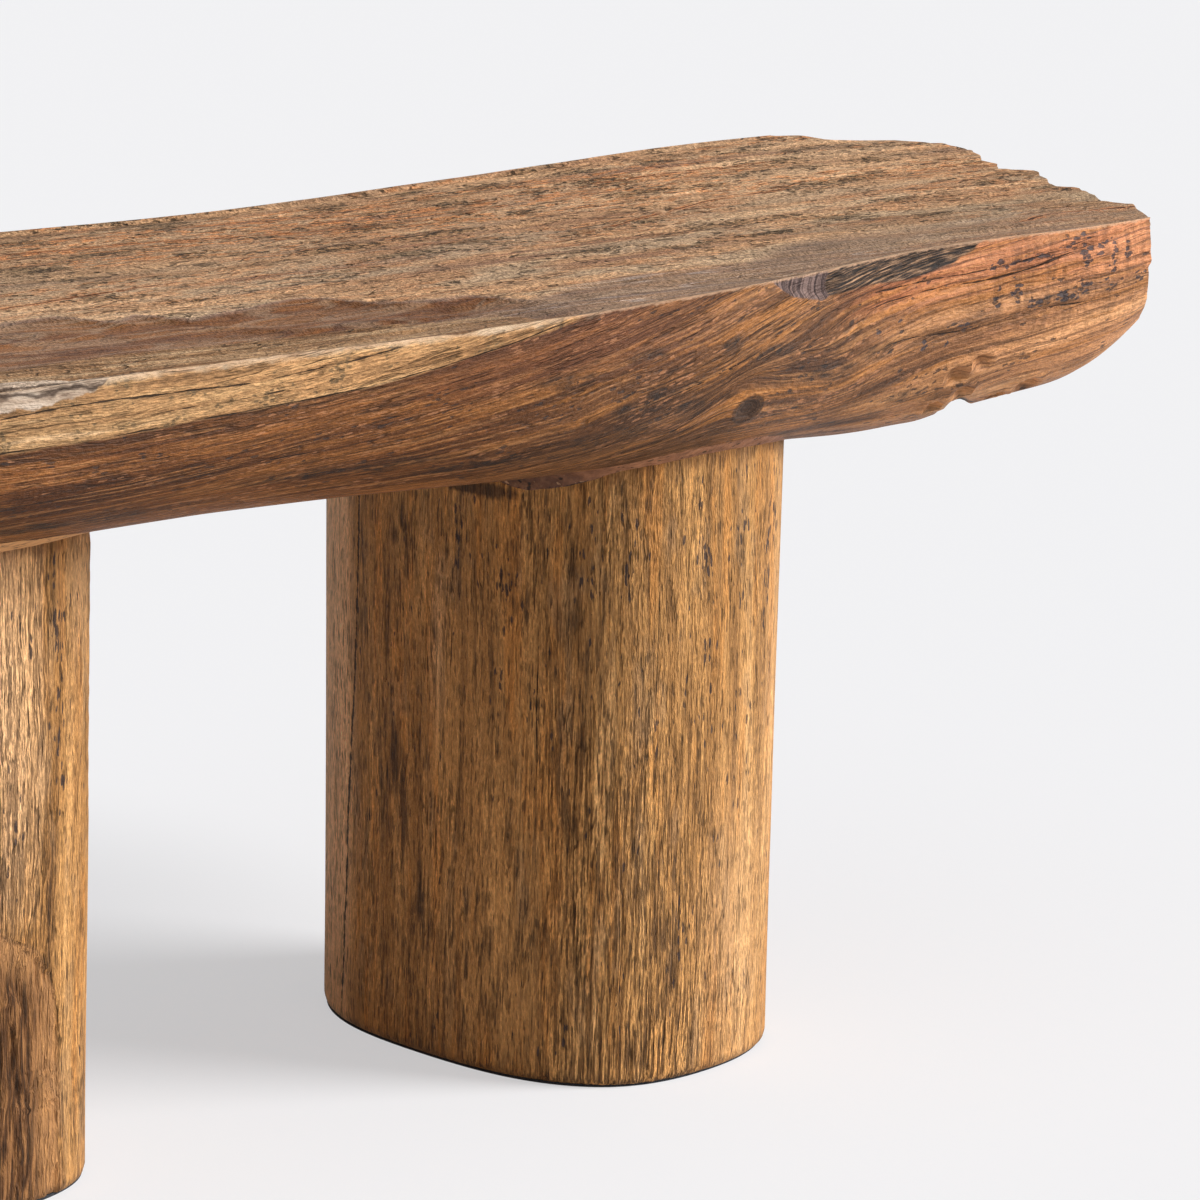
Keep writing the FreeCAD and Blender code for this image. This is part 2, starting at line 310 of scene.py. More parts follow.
def make_sheet(name: str, points: Array, material: Material) -> Piece:
    """Lay a grid primitive on a surface.

    Args:
        name: name of the object.
        points: its points in metres, rows by columns.
        material: its finish.

    Returns:
        The sheet, with each vertex's "row" and "column" as attributes.
    """
    rows, columns = points.shape[0] - 1, points.shape[1] - 1
    bpy.ops.object.select_all(action="DESELECT")
    bpy.ops.mesh.primitive_grid_add(x_subdivisions=columns, y_subdivisions=rows, size=2)
    sheet = bpy.context.active_object
    sheet.name = sheet.data.name = name
    mesh = sheet.data
    flat = np.zeros(len(mesh.vertices) * 3)
    mesh.vertices.foreach_get("co", flat)
    flat = flat.reshape(-1, 3)
    column = np.rint((flat[:, 0] + 1) / 2 * columns).astype(int)
    row = np.rint((flat[:, 1] + 1) / 2 * rows).astype(int)
    mesh.vertices.foreach_set("co", points[row, column].ravel())
    mesh.materials.clear()
    mesh.materials.append(material)
    for label, values in (("row", row), ("column", column)):
        mesh.attributes.new(label, "INT", "POINT").data.foreach_set("value", values)
    return sheet


def paint(sheet: Piece, name: str, values: Array) -> None:
    """Store a value or a vector on each vertex of a sheet.

    Args:
        sheet: made by make_sheet.
        name: name of the attribute.
        values: numbers or vectors, rows by columns.
    """
    mesh = sheet.data
    places = []
    for label in ("row", "column"):
        index = np.zeros(len(mesh.vertices), int)
        mesh.attributes[label].data.foreach_get("value", index)
        places.append(index)
    picked = values[places[0], places[1]]
    if values.ndim == 3:
        mesh.attributes.new(name, "FLOAT_VECTOR", "POINT").data.foreach_set("vector", picked.ravel())
    else:
        mesh.attributes.new(name, "FLOAT", "POINT").data.foreach_set("value", picked)


def weld(sheets: Sequence[Piece], name: str) -> Piece:
    """Join sheets that share borders into a closed skin.

    Args:
        sheets: the sheets.
        name: name of the skin.

    Returns:
        The skin, facing outwards, smooth but for sharp edges.
    """
    bpy.ops.object.select_all(action="DESELECT")
    for sheet in sheets:
        sheet.select_set(True)
    bpy.context.view_layer.objects.active = sheets[0]
    if len(sheets) > 1:
        bpy.ops.object.join()
    skin = bpy.context.active_object
    skin.name = skin.data.name = name
    for label in ("row", "column"):
        skin.data.attributes.remove(skin.data.attributes[label])
    bpy.ops.object.mode_set(mode="EDIT")
    bpy.ops.mesh.select_all(action="SELECT")
    bpy.ops.mesh.remove_doubles(threshold=MERGE_WITHIN)
    bpy.ops.mesh.dissolve_degenerate(threshold=DISSOLVE_BELOW)
    bpy.ops.mesh.select_all(action="SELECT")
    bpy.ops.mesh.normals_make_consistent(inside=False)
    bpy.ops.object.mode_set(mode="OBJECT")
    bpy.ops.object.shade_smooth_by_angle(angle=SHARP_ANGLE)
    return skin


def grid_normals(points: Array, centre: Array) -> Array:
    """Work out normals that point away from a centre line.

    Args:
        points: a sheet's points, rows by columns.
        centre: a point inside for each row.

    Returns:
        The unit normals.
    """
    down, over = np.gradient(points, axis=0), np.gradient(points, axis=1)
    normal = np.cross(down, over)
    normal /= np.linalg.norm(normal, axis=-1, keepdims=True) + 1e-12
    outward = np.sum(normal * (points - centre), axis=-1, keepdims=True)
    return normal * np.sign(outward)


# Seat slab, in millimetres until its sheets are made

# Sections of the seat from left to right: place as a share of half the length, front and back
# rim as shares of half the depth, how far each rim has dipped, the thickness and the turn.
SEAT_STATIONS: Tuple[Row, ...] = (
    (-1.02, 0.72, 0.64, 0.00, 0.00, 0.49, 0.55),
    (-0.985, 0.78, 0.72, 0.00, 0.00, 0.63, 0.55),
    (-0.93, 0.85, 0.81, 0.00, 0.00, 0.79, 0.45),
    (-0.84, 0.92, 0.89, 0.00, 0.05, 0.915, 0.2),
    (-0.7, 0.985, 0.95, 0.1, 0.15, 0.985, 0.00),
    (-0.52, 1.000, 0.975, 0.3, 0.4, 1.005, 0.00),
    (-0.34, 0.99, 0.965, 0.5, 0.7, 0.985, 0.00),
    (-0.16, 0.97, 0.945, 0.5, 0.95, 0.945, 0.00),
    (0.000, 0.97, 0.925, 0.42, 1.00, 0.94, 0.00),
    (0.16, 0.98, 0.912, 0.15, 0.95, 0.97, 0.00),
    (0.32, 0.93, 0.92, 0.00, 0.75, 1.01, 0.00),
    (0.47, 0.825, 0.932, 0.00, 0.45, 1.02, 0.00),
    (0.62, 0.7, 0.952, 0.00, 0.15, 1.01, 0.00),
    (0.765, 0.668, 0.995, 0.00, 0.00, 0.975, 0.05),
    (0.862, 0.655, 1.000, 0.00, 0.00, 0.9, 0.4),
    (0.925, 0.645, 0.98, 0.00, 0.00, 0.8, 0.75),
    (0.975, 0.63, 0.93, 0.00, 0.00, 0.66, 1.00),
    (1.01, 0.605, 0.88, 0.00, 0.00, 0.53, 1.00),
)
# One side of the log under its rim: shares of the half width, then of the thickness
FLANK_POLES: Line = ((1.000, 0.000), (1.018, 0.18), (1.015, 0.56), (0.79, 0.905), (0.33, 1.005))
# Stepped saw cuts: share of half the depth, then of half the length, front to back
RIGHT_CUT: Line = (
    (-0.76, 0.866), (-0.72, 0.882), (-0.608, 0.911), (-0.417, 0.943), (-0.343, 0.925), (-0.213, 0.949),
    (-0.144, 0.953), (-0.078, 0.944), (0.141, 0.978), (0.213, 0.952), (0.305, 0.972), (0.344, 0.968),
    (0.483, 0.994), (0.576, 1.000), (0.66, 0.997), (0.759, 0.972), (0.842, 0.918), (0.961, 0.897),
    (1.01, 0.852),
)
LEFT_CUT: Line = (
    (-1.05, -0.885), (-0.83, -0.915), (-0.7, -0.955), (-0.59, -0.984), (-0.42, -1.000), (-0.3, -0.994),
    (-0.08, -0.998), (0.02, -0.981), (0.26, -0.986), (0.33, -0.969), (0.52, -0.972), (0.59, -0.953),
    (0.73, -0.942), (1.05, -0.925),
)
# Lines that the grain follows on the front flank: its level, then along the seat and down from
# the rim
GRAIN_LINES: Tuple[Tuple[float, Line], ...] = (
    (15, ((-640, 20), (-235, 15), (-109, 12), (-26, 6), (28, 0), (110, -14), (250, -32), (640, -75))),
    (
        32,
        (
            (-640, 36), (-235, 32), (-170, 30), (-74, 26), (26, 16), (68, 9), (109, 1), (250, -18),
            (640, -55),
        ),
    ),
    (
        62,
        (
            (-640, 72), (-235, 66), (-100, 58), (25, 44), (100, 30), (165, 16), (235, 2), (300, -5),
            (420, -16), (640, -35),
        ),
    ),
    (
        92,
        (
            (-640, 100), (-235, 94), (-54, 86), (60, 81), (130, 71), (166, 61), (206, 50), (235, 40),
            (266, 31), (318, 18), (400, 8), (500, -3), (640, -16),
        ),
    ),
    (
        112,
        (
            (-640, 118), (-235, 114), (0, 108), (100, 95), (160, 79), (191, 68), (206, 58), (224, 51),
            (253, 53), (284, 56), (325, 53), (356, 48), (432, 39), (514, 29), (640, 18),
        ),
    ),
    (
        135,
        (
            (-640, 140), (0, 136), (120, 124), (190, 100), (232, 93), (290, 94), (350, 86), (432, 72),
            (514, 60), (640, 46),
        ),
    ),
    (165, ((-640, 172), (0, 168), (150, 156), (232, 140), (350, 124), (514, 104), (640, 90))),
)
# Edge of the pale sapwood on the front flank, and on the top the dark red line behind the rim
SAPWOOD_BELOW: Line = (
    (-640, 44), (-420, 38), (-235, 32), (-170, 30), (-127, 28), (-74, 25), (-22, 22), (26, 16), (68, 9),
    (95, 5), (112, 0), (160, -12), (640, -60),
)
SAPWOOD_ABOVE: Line = (
    (-640, 40), (-421, 31), (-296, 38), (-200, 44), (-137, 50), (-85, 45), (-39, 41), (25, 42), (66, 34),
    (91, 17), (103, 3), (123, -8), (195, -31), (640, -60),
)
# Ridges of the chiselled strip on the top, distance behind the front rim
STRIP_BACK: Line = (
    (-640, 88), (-520, 96), (-431, 101), (-327, 101), (-253, 125), (-190, 125), (-148, 148), (-126, 151),
    (-104, 143), (-92, 126), (-74, 135), (-62, 118), (-43, 114), (-19, 120), (4, 126), (32, 121), (43, 104),
    (56, 92), (78, 85), (97, 80), (107, 64), (119, 45), (148, 27), (640, 20),
)
STRIP_MIDDLE: Line = (
    (-640, 60), (-520, 66), (-432, 54), (-328, 75), (-254, 78), (-201, 108), (-158, 127), (-128, 119),
    (-111, 99), (-84, 95), (-51, 90), (-28, 64), (-5, 61), (35, 55), (64, 49), (93, 43), (110, 33),
    (148, 21), (640, 14),
)
# Back edge of the grey-purple band on the top, distance behind the front rim
BAND_BACK: Line = (
    (-640, -40), (-52, -7), (-12, 19), (29, 43), (65, 51), (100, 58), (151, 73), (211, 70), (263, 56),
    (319, 70), (376, 63), (435, 62), (480, 63), (524, 61), (558, 57), (640, 50),
)
# Raised folds near the sawn right end: along the seat and down from the rim
END_RIDGES: Tuple[Line, ...] = (
    ((290, 19), (330, 18), (374, 17), (403, 17.5), (431, 16), (467, 11), (510, 3), (640, -30)),
    ((290, 33), (340, 26), (393, 23), (425, 22), (449, 19), (472, 15), (640, -18)),
    ((290, 57), (330, 52), (372, 49), (411, 49), (445, 44), (469, 42.5), (496, 42), (525, 34), (640, 10)),
)
# Cracks on the front flank: along the seat and down from the rim; then where each is open
FLANK_CRACKS: Cracks = (
    (
        (
            (-640, 20), (-420, 18), (-235, 15), (-156, 11), (-109, 12), (-62, 10), (-26, 7), (4, 3),
            (60, -3), (640, -60),
        ),
        -560, 22, 0.5,
    ),
    (((-640, 34), (-235, 24), (-120, 20), (-40, 15), (30, 8), (80, 1), (640, -58)), -150, -45, 0.25),
    (
        (
            (-640, 43), (-420, 37), (-235, 31), (-170, 29), (-127, 27.5), (-74, 24.5), (-22, 21.5),
            (26, 15.5), (68, 8.5), (112, 0), (640, -56),
        ),
        -600, 112, 0.3,
    ),
    (((-640, 68), (-235, 62), (-108, 55), (-58, 54.5), (0, 50), (100, 34), (640, -40)), -125, -40, 0.35),
    (
        ((-640, 90), (-235, 84), (0, 76), (120, 62), (180, 50), (240, 34), (320, 14), (640, -25)), 150,
        235, 0.3,
    ),
) + tuple((
    ((-640, 40 + 1.6 * fold[0][1]), (0, 20 + 1.4 * fold[0][1])) + fold, 322, 500, 0.4
) for fold in END_RIDGES)
# Cracks on the top: along the seat and across it; then where each is open
TOP_CRACKS: Cracks = (
    (
        ((-640, -150), (-401, -121), (-132, -15), (-96, -8), (-64, -2), (-24, 3), (73, 8), (640, -20)),
        -220, -5, 0.85,
    ),
    (
        ((-640, -60), (-300, 20), (-60, 44), (60, 20), (227, -3), (351, 39), (431, 52), (640, 70)), 236,
        431, 0.8,
    ),
    (
        (
            (-640, 60), (-295, 89), (-56, 125), (-12, 122), (38, 119), (67, 111), (99, 103), (144, 93),
            (247, 76), (640, 74),
        ),
        -75, 175, 0.9,
    ),
    (((-640, 130), (-300, 120), (0, 126), (200, 118), (420, 128), (640, 120)), 330, 470, 0.8),
    (((-640, -60), (300, -100), (470, -96), (512, -85), (541, -86), (560, -89), (640, -90)), 465, 575, 0.9),
)
# How far the pale worn patch reaches from the front rim onto the top, and down the side
BLEACH_TOP: Line = (
    (-460, -6), (-400, 14), (-232, 21), (-201, 15), (-188, 8), (-167, 6), (-145, 3), (-130, -6),
)
BLEACH_SIDE: Line = (
    (-460, -6), (-400, 12), (-233, 11.5), (-216, 12), (-199, 10), (-187, 8), (-176, 6), (-160, -6),
)
# Dark pitted patches on the top: along the seat, across it, and their half sizes
PITTED_SPOTS: Tuple[Row, ...] = (
    (343, 87, 27, 11), (390, 82, 16, 8), (321, -22, 34, 8), (215, -49, 30, 6), (270, -65, 30, 6),
    (327, -60, 26, 6), (392, -38, 20, 7), (296, 10, 18, 5), (351, 164, 22, 10), (345, 129, 26, 12),
    (407, 164, 18, 8), (447, 54, 22, 9), (478, 130, 18, 8), (507, 155, 20, 7), (363, -21, 16, 6),
    (174, 155, 18, 13), (160, 90, 24, 17), (181, 46, 30, 8), (181, 16, 26, 8), (279, 156, 22, 13),
    (236, 121, 16, 11), (239, 169, 18, 9), (252, 74, 14, 6), (128, 4, 30, 7), (112, 40, 30, 9),
    (-25, 150, 20, 11), (-61, 75, 24, 13), (-4, 100, 30, 7), (67, 157, 24, 11), (-70, -16, 26, 6),
    (-26, -42, 14, 4), (-60, -70, 10, 4), (471, 57, 24, 9), (523, 107, 16, 10), (537, 14, 14, 8),
    (553, -17, 12, 6), (428, -101, 30, 5), (456, -10, 22, 8), (397, -41, 20, 6), (442, -56, 16, 5),
    (-326, 128, 70, 12), (-241, 77, 36, 9), (-442, -24, 60, 11), (-523, 103, 46, 13), (-143, 198, 60, 12),
    (52, 194, 50, 11),
)
# Dark stains on the front flank, and rows of blue-grey flecks near its right end: along the
# seat, down from the rim, and their half sizes
SOOT_SPOTS: Tuple[Row, ...] = (
    (151, 27, 14, 4), (212, 30, 8, 6), (100, 34, 22, 4), (150, 57, 18, 5), (187, 63, 14, 6),
    (149, 71, 16, 6), (124, 74, 22, 5), (162, 50, 12, 4), (295, 57, 24, 4), (338, 52, 18, 5),
    (368, 84, 14, 5), (241, 38, 22, 4), (465, 38, 24, 3), (60, 80, 40, 6), (-30, 70, 60, 5),
    (-180, 84, 50, 6), (-330, 70, 70, 6), (396, 88, 9, 2.5), (420, 83, 12, 2), (476, 103, 12, 2.5),
    (440, 112, 14, 4), (392, 104, 12, 3),
)
BLOT_SPOTS: Tuple[Row, ...] = (
    (428, 15, 9, 3), (443, 13, 9, 3), (457, 12, 9, 2.5), (478, 7, 10, 2.5), (496, 5, 8, 2.5),
    (427, 31, 4, 8), (441, 33, 4, 9), (491, 17, 5, 7), (501, 13, 7, 3), (512, 17, 4, 10), (524, 16, 3, 5),
    (536, 32, 5, 5), (476, 37, 10, 4), (491, 32, 6, 4), (512, 34, 5, 4), (455, 39, 14, 3),
    (381, 55, 14, 5, 0.6), (400, 46, 12, 4, 0.6), (360, 38, 14, 3, 0.6), (330, 40, 12, 4, 0.6),
    (-400, 60, 14, 4),
)
# Under edge of the charred bevel's facet, of the saw notch and of both in the paint: along the
# seat, then down from the rim
BEVEL_LOW: Line = ((290, 12), (300, 14), (321, 13), (354, 15), (387, 11), (407, 6), (420, 2))
NOTCH_LOW: Line = ((243, 0), (247, 4), (259, 11), (282, 16), (295, 15), (300, 0))
SAWN_LOW: Line = (
    (243, 0), (247, 4), (259, 11), (282, 16), (300, 14), (321, 13), (354, 15), (387, 11), (407, 6),
    (430, -8),
)
NOTCH_LEFT = 243
# Chips near the sawn right end: along the seat, down from the rim, radius; and torn places in the
# bark side, each with the seed of its pattern
CHIPS: Sequence[Row] = ((404, 76, 7), (422, 70, 6), (416, 89, 6), (398, 97, 6), (470, 96, 8), (452, 104, 6))
TEARS: Sequence[Row] = ((-470, 112, 61), (-90, 300, 62), (300, 330, 63), (480, 210, 64))
# Slope of the pitted patches across the top, and what the rims hold where cracks and bleach stop
PITTED_TILT = 0.04
NO_CRACK = (0.01, -0.002, 0)
NO_BLEACH = -0.05
# Knots on the flanks: along the seat, down from the front rim or up from the back rim, radii
FRONT_KNOTS: Tuple[Row, ...] = ((232, 70, 10, 8), (-455, 84, 13, 9))
BACK_KNOTS: Tuple[Row, ...] = ((-140, 70, 12, 9), (395, 52, 8, 7))


@dataclass
class SeatSurface:
    """The log's plain skin, as the sections give it, with all lengths in millimetres."""

    length: float = 1200.0
    depth: float = 406.0
    height: float = 450.0
    dip: float = 10.0
    thickness: float = 112.0
    end_slant: float = 13.6

    def rims(self, along: Array) -> Tuple[Array, ...]:
        """Read the table at places along the seat.

        Args:
            along: shares of half the length.

        Returns:
            Front y, back y, front z, back z, thickness share and turn in radians.
        """
        table = spline_rows(np.array(SEAT_STATIONS), along)
        front, back, front_dip, back_dip, depth, turn = np.moveaxis(table, -1, 0)
        half = self.depth / 2
        front_z = self.height - self.dip * front_dip
        back_z = self.height - self.dip * back_dip
        return -front * half, back * half, front_z, back_z, depth, np.radians(self.end_slant) * turn

    def top(self, along: Array, share: Array) -> Array:
        """Give points on the top, share 0 at the front rim and 1 at the back rim."""
        front, back, front_z, back_z, _, turn = self.rims(along)
        return self._place(
            along, front + (back - front) * share, front_z + (back_z - front_z) * share, turn
        )

    def under(self, along: Array, t: Array) -> Array:
        """Give points on the round side.

        Args:
            along: shares of half the length.
            t: places across, 0 at the front rim and 1 at the back rim.

        Returns:
            The points.
        """
        front, back, front_z, back_z, depth, turn = self.rims(along)
        weights = clamped_basis(t, 2 * len(FLANK_POLES))
        y, z = np.zeros_like(weights[..., 0]), np.zeros_like(weights[..., 0])
        low = self.height - self.thickness * depth
        sides = [(front, front_z, pole) for pole in FLANK_POLES]
        sides += [(back, back_z, pole) for pole in reversed(FLANK_POLES)]
        for place, (rim, rim_z, (out, down)) in enumerate(sides):
            y += weights[..., place] * rim * out
            z += weights[..., place] * (rim_z - (rim_z - low) * down)
        return self._place(along, y, z, turn)

    def _place(self, along: Array, y: Array, z: Array, turn: Array) -> Array:
        """Turn a section's points about the upright line through its middle."""
        x = along * self.length / 2 + y * np.sin(turn)
        return vectors(x, y * np.cos(turn), z)

    def cut_at(self, y: Array, side: int) -> Array:
        """Give where the stepped saw cut of an end lies at each y."""
        return along_pieces(RIGHT_CUT if side > 0 else LEFT_CUT, y / (self.depth / 2)) * self.length / 2

    def underside_at(self, x: Array, y: Array) -> Array:
        """Give the height of the round underside near the middle of the seat.

        Args:
            x: places along the seat.
            y: places across it.

        Returns:
            The height at each place.
        """
        t = np.linspace(0.08, 0.92, 220)
        height = np.empty(len(x))
        for place, (across, along) in enumerate(zip(y, x)):
            section = self.under(np.full(len(t), along / (self.length / 2)), t)
            height[place] = np.interp(across, section[:, 1], section[:, 2])
        return height


@dataclass
class Sheet:
    """Points of one sheet of the seat's skin, and how far each lies from the two rims."""

    points: Array
    front: Array
    back: Array

    @property
    def x(self) -> Array:
        """Give the places along the seat."""
        return self.points[..., 0]


@dataclass
class SeatSlab:
    """The half-log seat: skin, carving and paint masks."""

    surface: SeatSurface
    columns_left: int = 46
    columns_middle: int = 196
    columns_right: int = 52
    steps_left: int = 16
    across: int = 136
    cap_rows: int = 22
    left_zone: float = -0.83
    view_zone: float = -0.42
    right_zone: float = 0.8
    beyond_end: float = 1.02
    halvings: int = 40
    heart_height: float = 415.0
    front_border: float = 4.5
    back_border: float = 6.0

    def reach_cut(self, make: Surface, over: Array, side: int, start: float) -> Array:
        """Find where each line along a sheet meets the saw cut of an end.

        Args:
            make: method of the surface that gives the sheet's points.
            over: places across the sheet, 0 to 1.
            side: 1 for the right end, -1 for the left one.
            start: share of half the length from which the search starts.

        Returns:
            Shares of half the length, one for each place across.
        """
        low, high = np.full(len(over), abs(start)), np.full(len(over), self.beyond_end)
        for _ in range(self.halvings):
            middle = (low + high) / 2
            points = make(side * middle, over)
            beyond = side * (points[:, 0] - self.surface.cut_at(points[:, 1], side)) > 0
            low, high = np.where(beyond, low, middle), np.where(beyond, middle, high)
        return side * (low + high) / 2

    def sheet_places(self, make: Surface, over: Array) -> Array:
        """Lay the columns of one sheet, the last ones drawn up to the saw cuts.

        Args:
            make: method of the surface that gives the sheet's points.
            over: places across the sheet, 0 to 1.

        Returns:
            Points, columns along the seat by places across by three.
        """
        left_cut = self.reach_cut(make, over, -1, self.left_zone)
        right_cut = self.reach_cut(make, over, 1, self.right_zone)
        left_part = 1 - (np.arange(self.steps_left) / self.steps_left) ** 0.85
        right_part = (np.arange(1, self.columns_right + 1) / self.columns_right) ** 0.9
        left = self.left_zone + (left_cut[None] - self.left_zone) * left_part[:, None]
        right = self.right_zone + (right_cut[None] - self.right_zone) * right_part[:, None]
        unseen = np.linspace(self.left_zone, self.view_zone, self.columns_left)
        seen = np.linspace(self.view_zone, self.right_zone, self.columns_middle + 1)
        inner = np.concatenate([unseen, seen[1:]])
        along = np.concatenate([left, np.repeat(inner[:, None], len(over), axis=1), right])
        return make(along, np.repeat(over[None], len(along), axis=0))

    def top_sheet(self, over: Array) -> Sheet:
        """Lay the top, with straight distances from its rims.

        Args:
            over: places across it, 0 to 1.

        Returns:
            The plain top.
        """
        points = self.sheet_places(self.surface.top, over)
        front, back = (
            np.linalg.norm(points - points[:, rim], axis=-1) for rim in (slice(0, 1), slice(-1, None))
        )
        return Sheet(points, front, back)

    def side_sheet(self, over: Array) -> Sheet:
        """Lay the round side, with distances from its rims along the skin.

        Args:
            over: places across it, 0 to 1.

        Returns:
            The plain round side.
        """
        points = self.sheet_places(self.surface.under, over)
        run = np.linalg.norm(np.diff(points, axis=1), axis=-1)
        front = np.concatenate([np.zeros((len(points), 1)), np.cumsum(run, axis=1)], axis=1)
        return Sheet(points, front, front[:, -1:] - front)

    def tear_ends(self, points: Array) -> None:
        """Draw the splintered part of both ends inwards.

        Args:
            points: points of a sheet, which are moved in place.
        """
        for side, edge in ((-1, points[:1]), (1, points[-1:])):
            teeth = np.abs(rough(edge * np.array([0, 1, 1]), (1, 9, 9), 93, 3)) * 5
            nearby = np.exp(-np.abs(points[..., 0] - edge[..., 0]) / 5)
            nearby = nearby * ease(edge[..., 1], -90, -30) * ease(-edge[..., 1], -196, -176)
            points[..., 0] -= side * teeth * nearby

    def front_rim_move(self, x: Array) -> Array:
        """Move the ragged front rim inwards and down.

        Args:
            x: places along the seat.

        Returns:
            The move at each place.
        """
        line = vectors(x, 0, 0)
        ragged = rough(line, (22, 1, 1), 11, 3) + 0.6 * rough(line, (7, 1, 1), 12, 2)
        splinter = np.where(x < 110, 1, 0.55)
        down = 0.35 + 0.35 * rough(line, (40, 1, 1), 13, 3)
        worn = ease(-x, 150, 235)
        inwards = 1 + 0.9 * splinter * ragged + 1.6 * worn
        return vectors(0, inwards, -(down + 2.2 * worn + 1.5 * bell(x, 36, 9)))

    def back_rim_move(self, x: Array) -> Array:
        """Move the back rim inwards and down.

        Args:
            x: places along the seat.

        Returns:
            The move at each place.
        """
        line = vectors(x, 0, 0)
        inwards = 0.9 + 0.9 * rough(line, (60, 1, 1), 21, 3)
        return vectors(0, -inwards, -(0.45 + 0.45 * rough(line, (90, 1, 1), 22, 4)))

    def carve_top(self, sheet: Sheet) -> Array:
        """Work out how far the top is carved down.

        Args:
            sheet: the plain top.

        Returns:
            Depth at each point, 0 or more.
        """
        x, front, back = sheet.x, sheet.front, sheet.back
        flat = sheet.points * np.array([1, 1, 0])
        deep = 0.9 + 0.8 * rough(flat, (150, 46, 1), 31, 3)
        deep += 0.45 * rough(flat, (240, 9, 1), 32, 2) + 0.3 * rough(flat, (38, 7, 1), 33, 2)
        ridge, middle, line = (along_line(row, x) for row in (STRIP_BACK, STRIP_MIDDLE, SAPWOOD_ABOVE))
        fade = ease(128 - x, 0, 40) * ease(x, -520, -420)
        upper = np.clip((front - middle) / (ridge - middle + 1e-6), 0, 1)
        lower = np.clip((front - line) / (middle - line + 1e-6), 0, 1)
        inside = (front > line) & (front < ridge)
        dish = np.where(front > middle, 4 * upper * (1 - upper), 4 * lower * (1 - lower))
        chatter = 0.65 + 0.35 * rough(flat, (34, 500, 1), 34, 2)
        floor = 1.2 * ease(ridge - front, 0, 10)
        deep += fade * np.where(inside, floor + 2.3 * dish * chatter, 0)
        within = ease(along_line(BAND_BACK, x) - front, 0, 14) * ease(front, 0, 8)
        waves = 1 - np.abs(rough(flat, (95, 15, 1), 35, 2))
        deep += within * (0.4 + 1.5 * waves**3)
        chip = ease(1.15 - off_spot(x, front, (74, 65, 22, 11)), 0, 0.5)
        deep += 2.2 * chip * (0.7 + 0.5 * rough(flat, (9, 5, 1), 36, 2))
        worn_back = 2.4 * np.exp(-((back / 9) ** 2)) + 0.6 * np.exp(-((back / 34) ** 2))
        deep += worn_back * ease(528 - x, 0, 60)
        patches = ease(rough(flat, (130, 60, 1), 38, 2), 0.05, 0.45)
        deep += 0.9 * patches * ease(rough(flat, (9, 5, 1), 37, 2), 0.25, 0.7)
        return np.maximum(deep, 0.05)

    def carve_under(self, sheet: Sheet, level: Array) -> Array:
        """Work out how far the round side stands out from the plain skin.

        Args:
            sheet: the plain round side.
            level: level of the grain at each point.

        Returns:
            Height at each point, outwards.
        """
        x, front, back = sheet.x, sheet.front, sheet.back
        grain = vectors(x, level, 0)
        out = 0.9 * rough(grain, (210, 48, 1), 51, 3) + 0.35 * rough(grain, (120, 9, 1), 52, 2)
        free = 1 - bell(x, -222, 130) - bell(x, 222, 130)
        out += 2.6 * np.clip(free, 0, 1) * ease(front, 40, 110) * ease(back, 30, 80)
        flowing = ease(x, 250, 400) * ease(150 - front, 0, 60)
        ridges = 1 - np.abs(rough(grain, (160, 11, 1), 53, 2)) * 1.6
        out += flowing * (1.3 * ridges - 0.6)
        for ridge in END_RIDGES:
            off = front - along_line(ridge, np.maximum(x, 290))
            out += ease(x, 300, 345) * (1.3 * bell(off, -4.5, 3.4) - 1.2 * bell(off, 0.5, 2.4))
        shaped = ease(x, -560, -520) * ease(-x, -250, -200)
        out += shaped * 0.5 * rough(sheet.points, (60, 60, 60), 54, 2)
        facet = np.minimum(front, 60)
        bevel = ease(x, 292, 312) * ease(410 - x, 0, 26)
        low = along_pieces(BEVEL_LOW, x)
        out += bevel * np.where(front < low, 2.4 * facet / low, 2.4 * np.exp(-((front - low) / 7) ** 2))
        out -= bevel * 0.7 * ease(low - front, -1, 2) * (0.6 + 0.8 * rough(grain, (26, 3.2, 1), 55, 2))
        notch_low = along_pieces(NOTCH_LOW, x)
        notch = (x > NOTCH_LEFT) & (x < 300) & (front < notch_low)
        saw = 0.45 * np.sign(np.sin(x * 0.85 + 0.6 * np.sin(x * 0.31)))
        out -= np.where(notch, 3.2 * ease(notch_low - front, 0, 5) + saw, 0)
        for far in self.from_knots(sheet):
            swell = 1.8 * np.exp(-((far / 2.6) ** 2))
            out += swell + 0.7 * bell(far, 1.05, 0.3) - 1.5 * ease(1 - far, 0, 0.4)
        out -= 4.4 * ease(1.2 - self.from_hollow(sheet), 0, 0.5)
        out += 1.2 * bell(self.slant(sheet), -28, 14) * bell(front, 135, 40)
        out += 4.6 * bell(x, 372, 56) * ease(front, 50, 110) * ease(back, 30, 80)
        out += 2.4 * bell(x, 512, 30) * bell(front, 110, 34)
        for chip_x, chip_s, radius in CHIPS:
            chip = off_spot(x, front, (chip_x, chip_s, radius, 0.7 * radius))
            out += 1.3 * bell(chip, 1.5, 0.4) - 2.6 * ease(1.2 - chip, 0, 0.6)
        for tear_x, tear_s, seed in TEARS:
            tear = off_spot(x, front, (tear_x, tear_s, 34, 9))
            out -= 1.8 * ease(1.2 - tear, 0, 0.6) * (0.7 + 0.6 * rough(grain, (12, 5, 1), seed, 2))
        return out

    def from_knots(self, sheet: Sheet) -> Sequence[Array]:
        """Give the distance from each knot, 1 on its edge."""
        knots = [off_spot(sheet.x, sheet.front, knot) for knot in FRONT_KNOTS]
        return knots + [off_spot(sheet.x, sheet.back, knot) for knot in BACK_KNOTS]

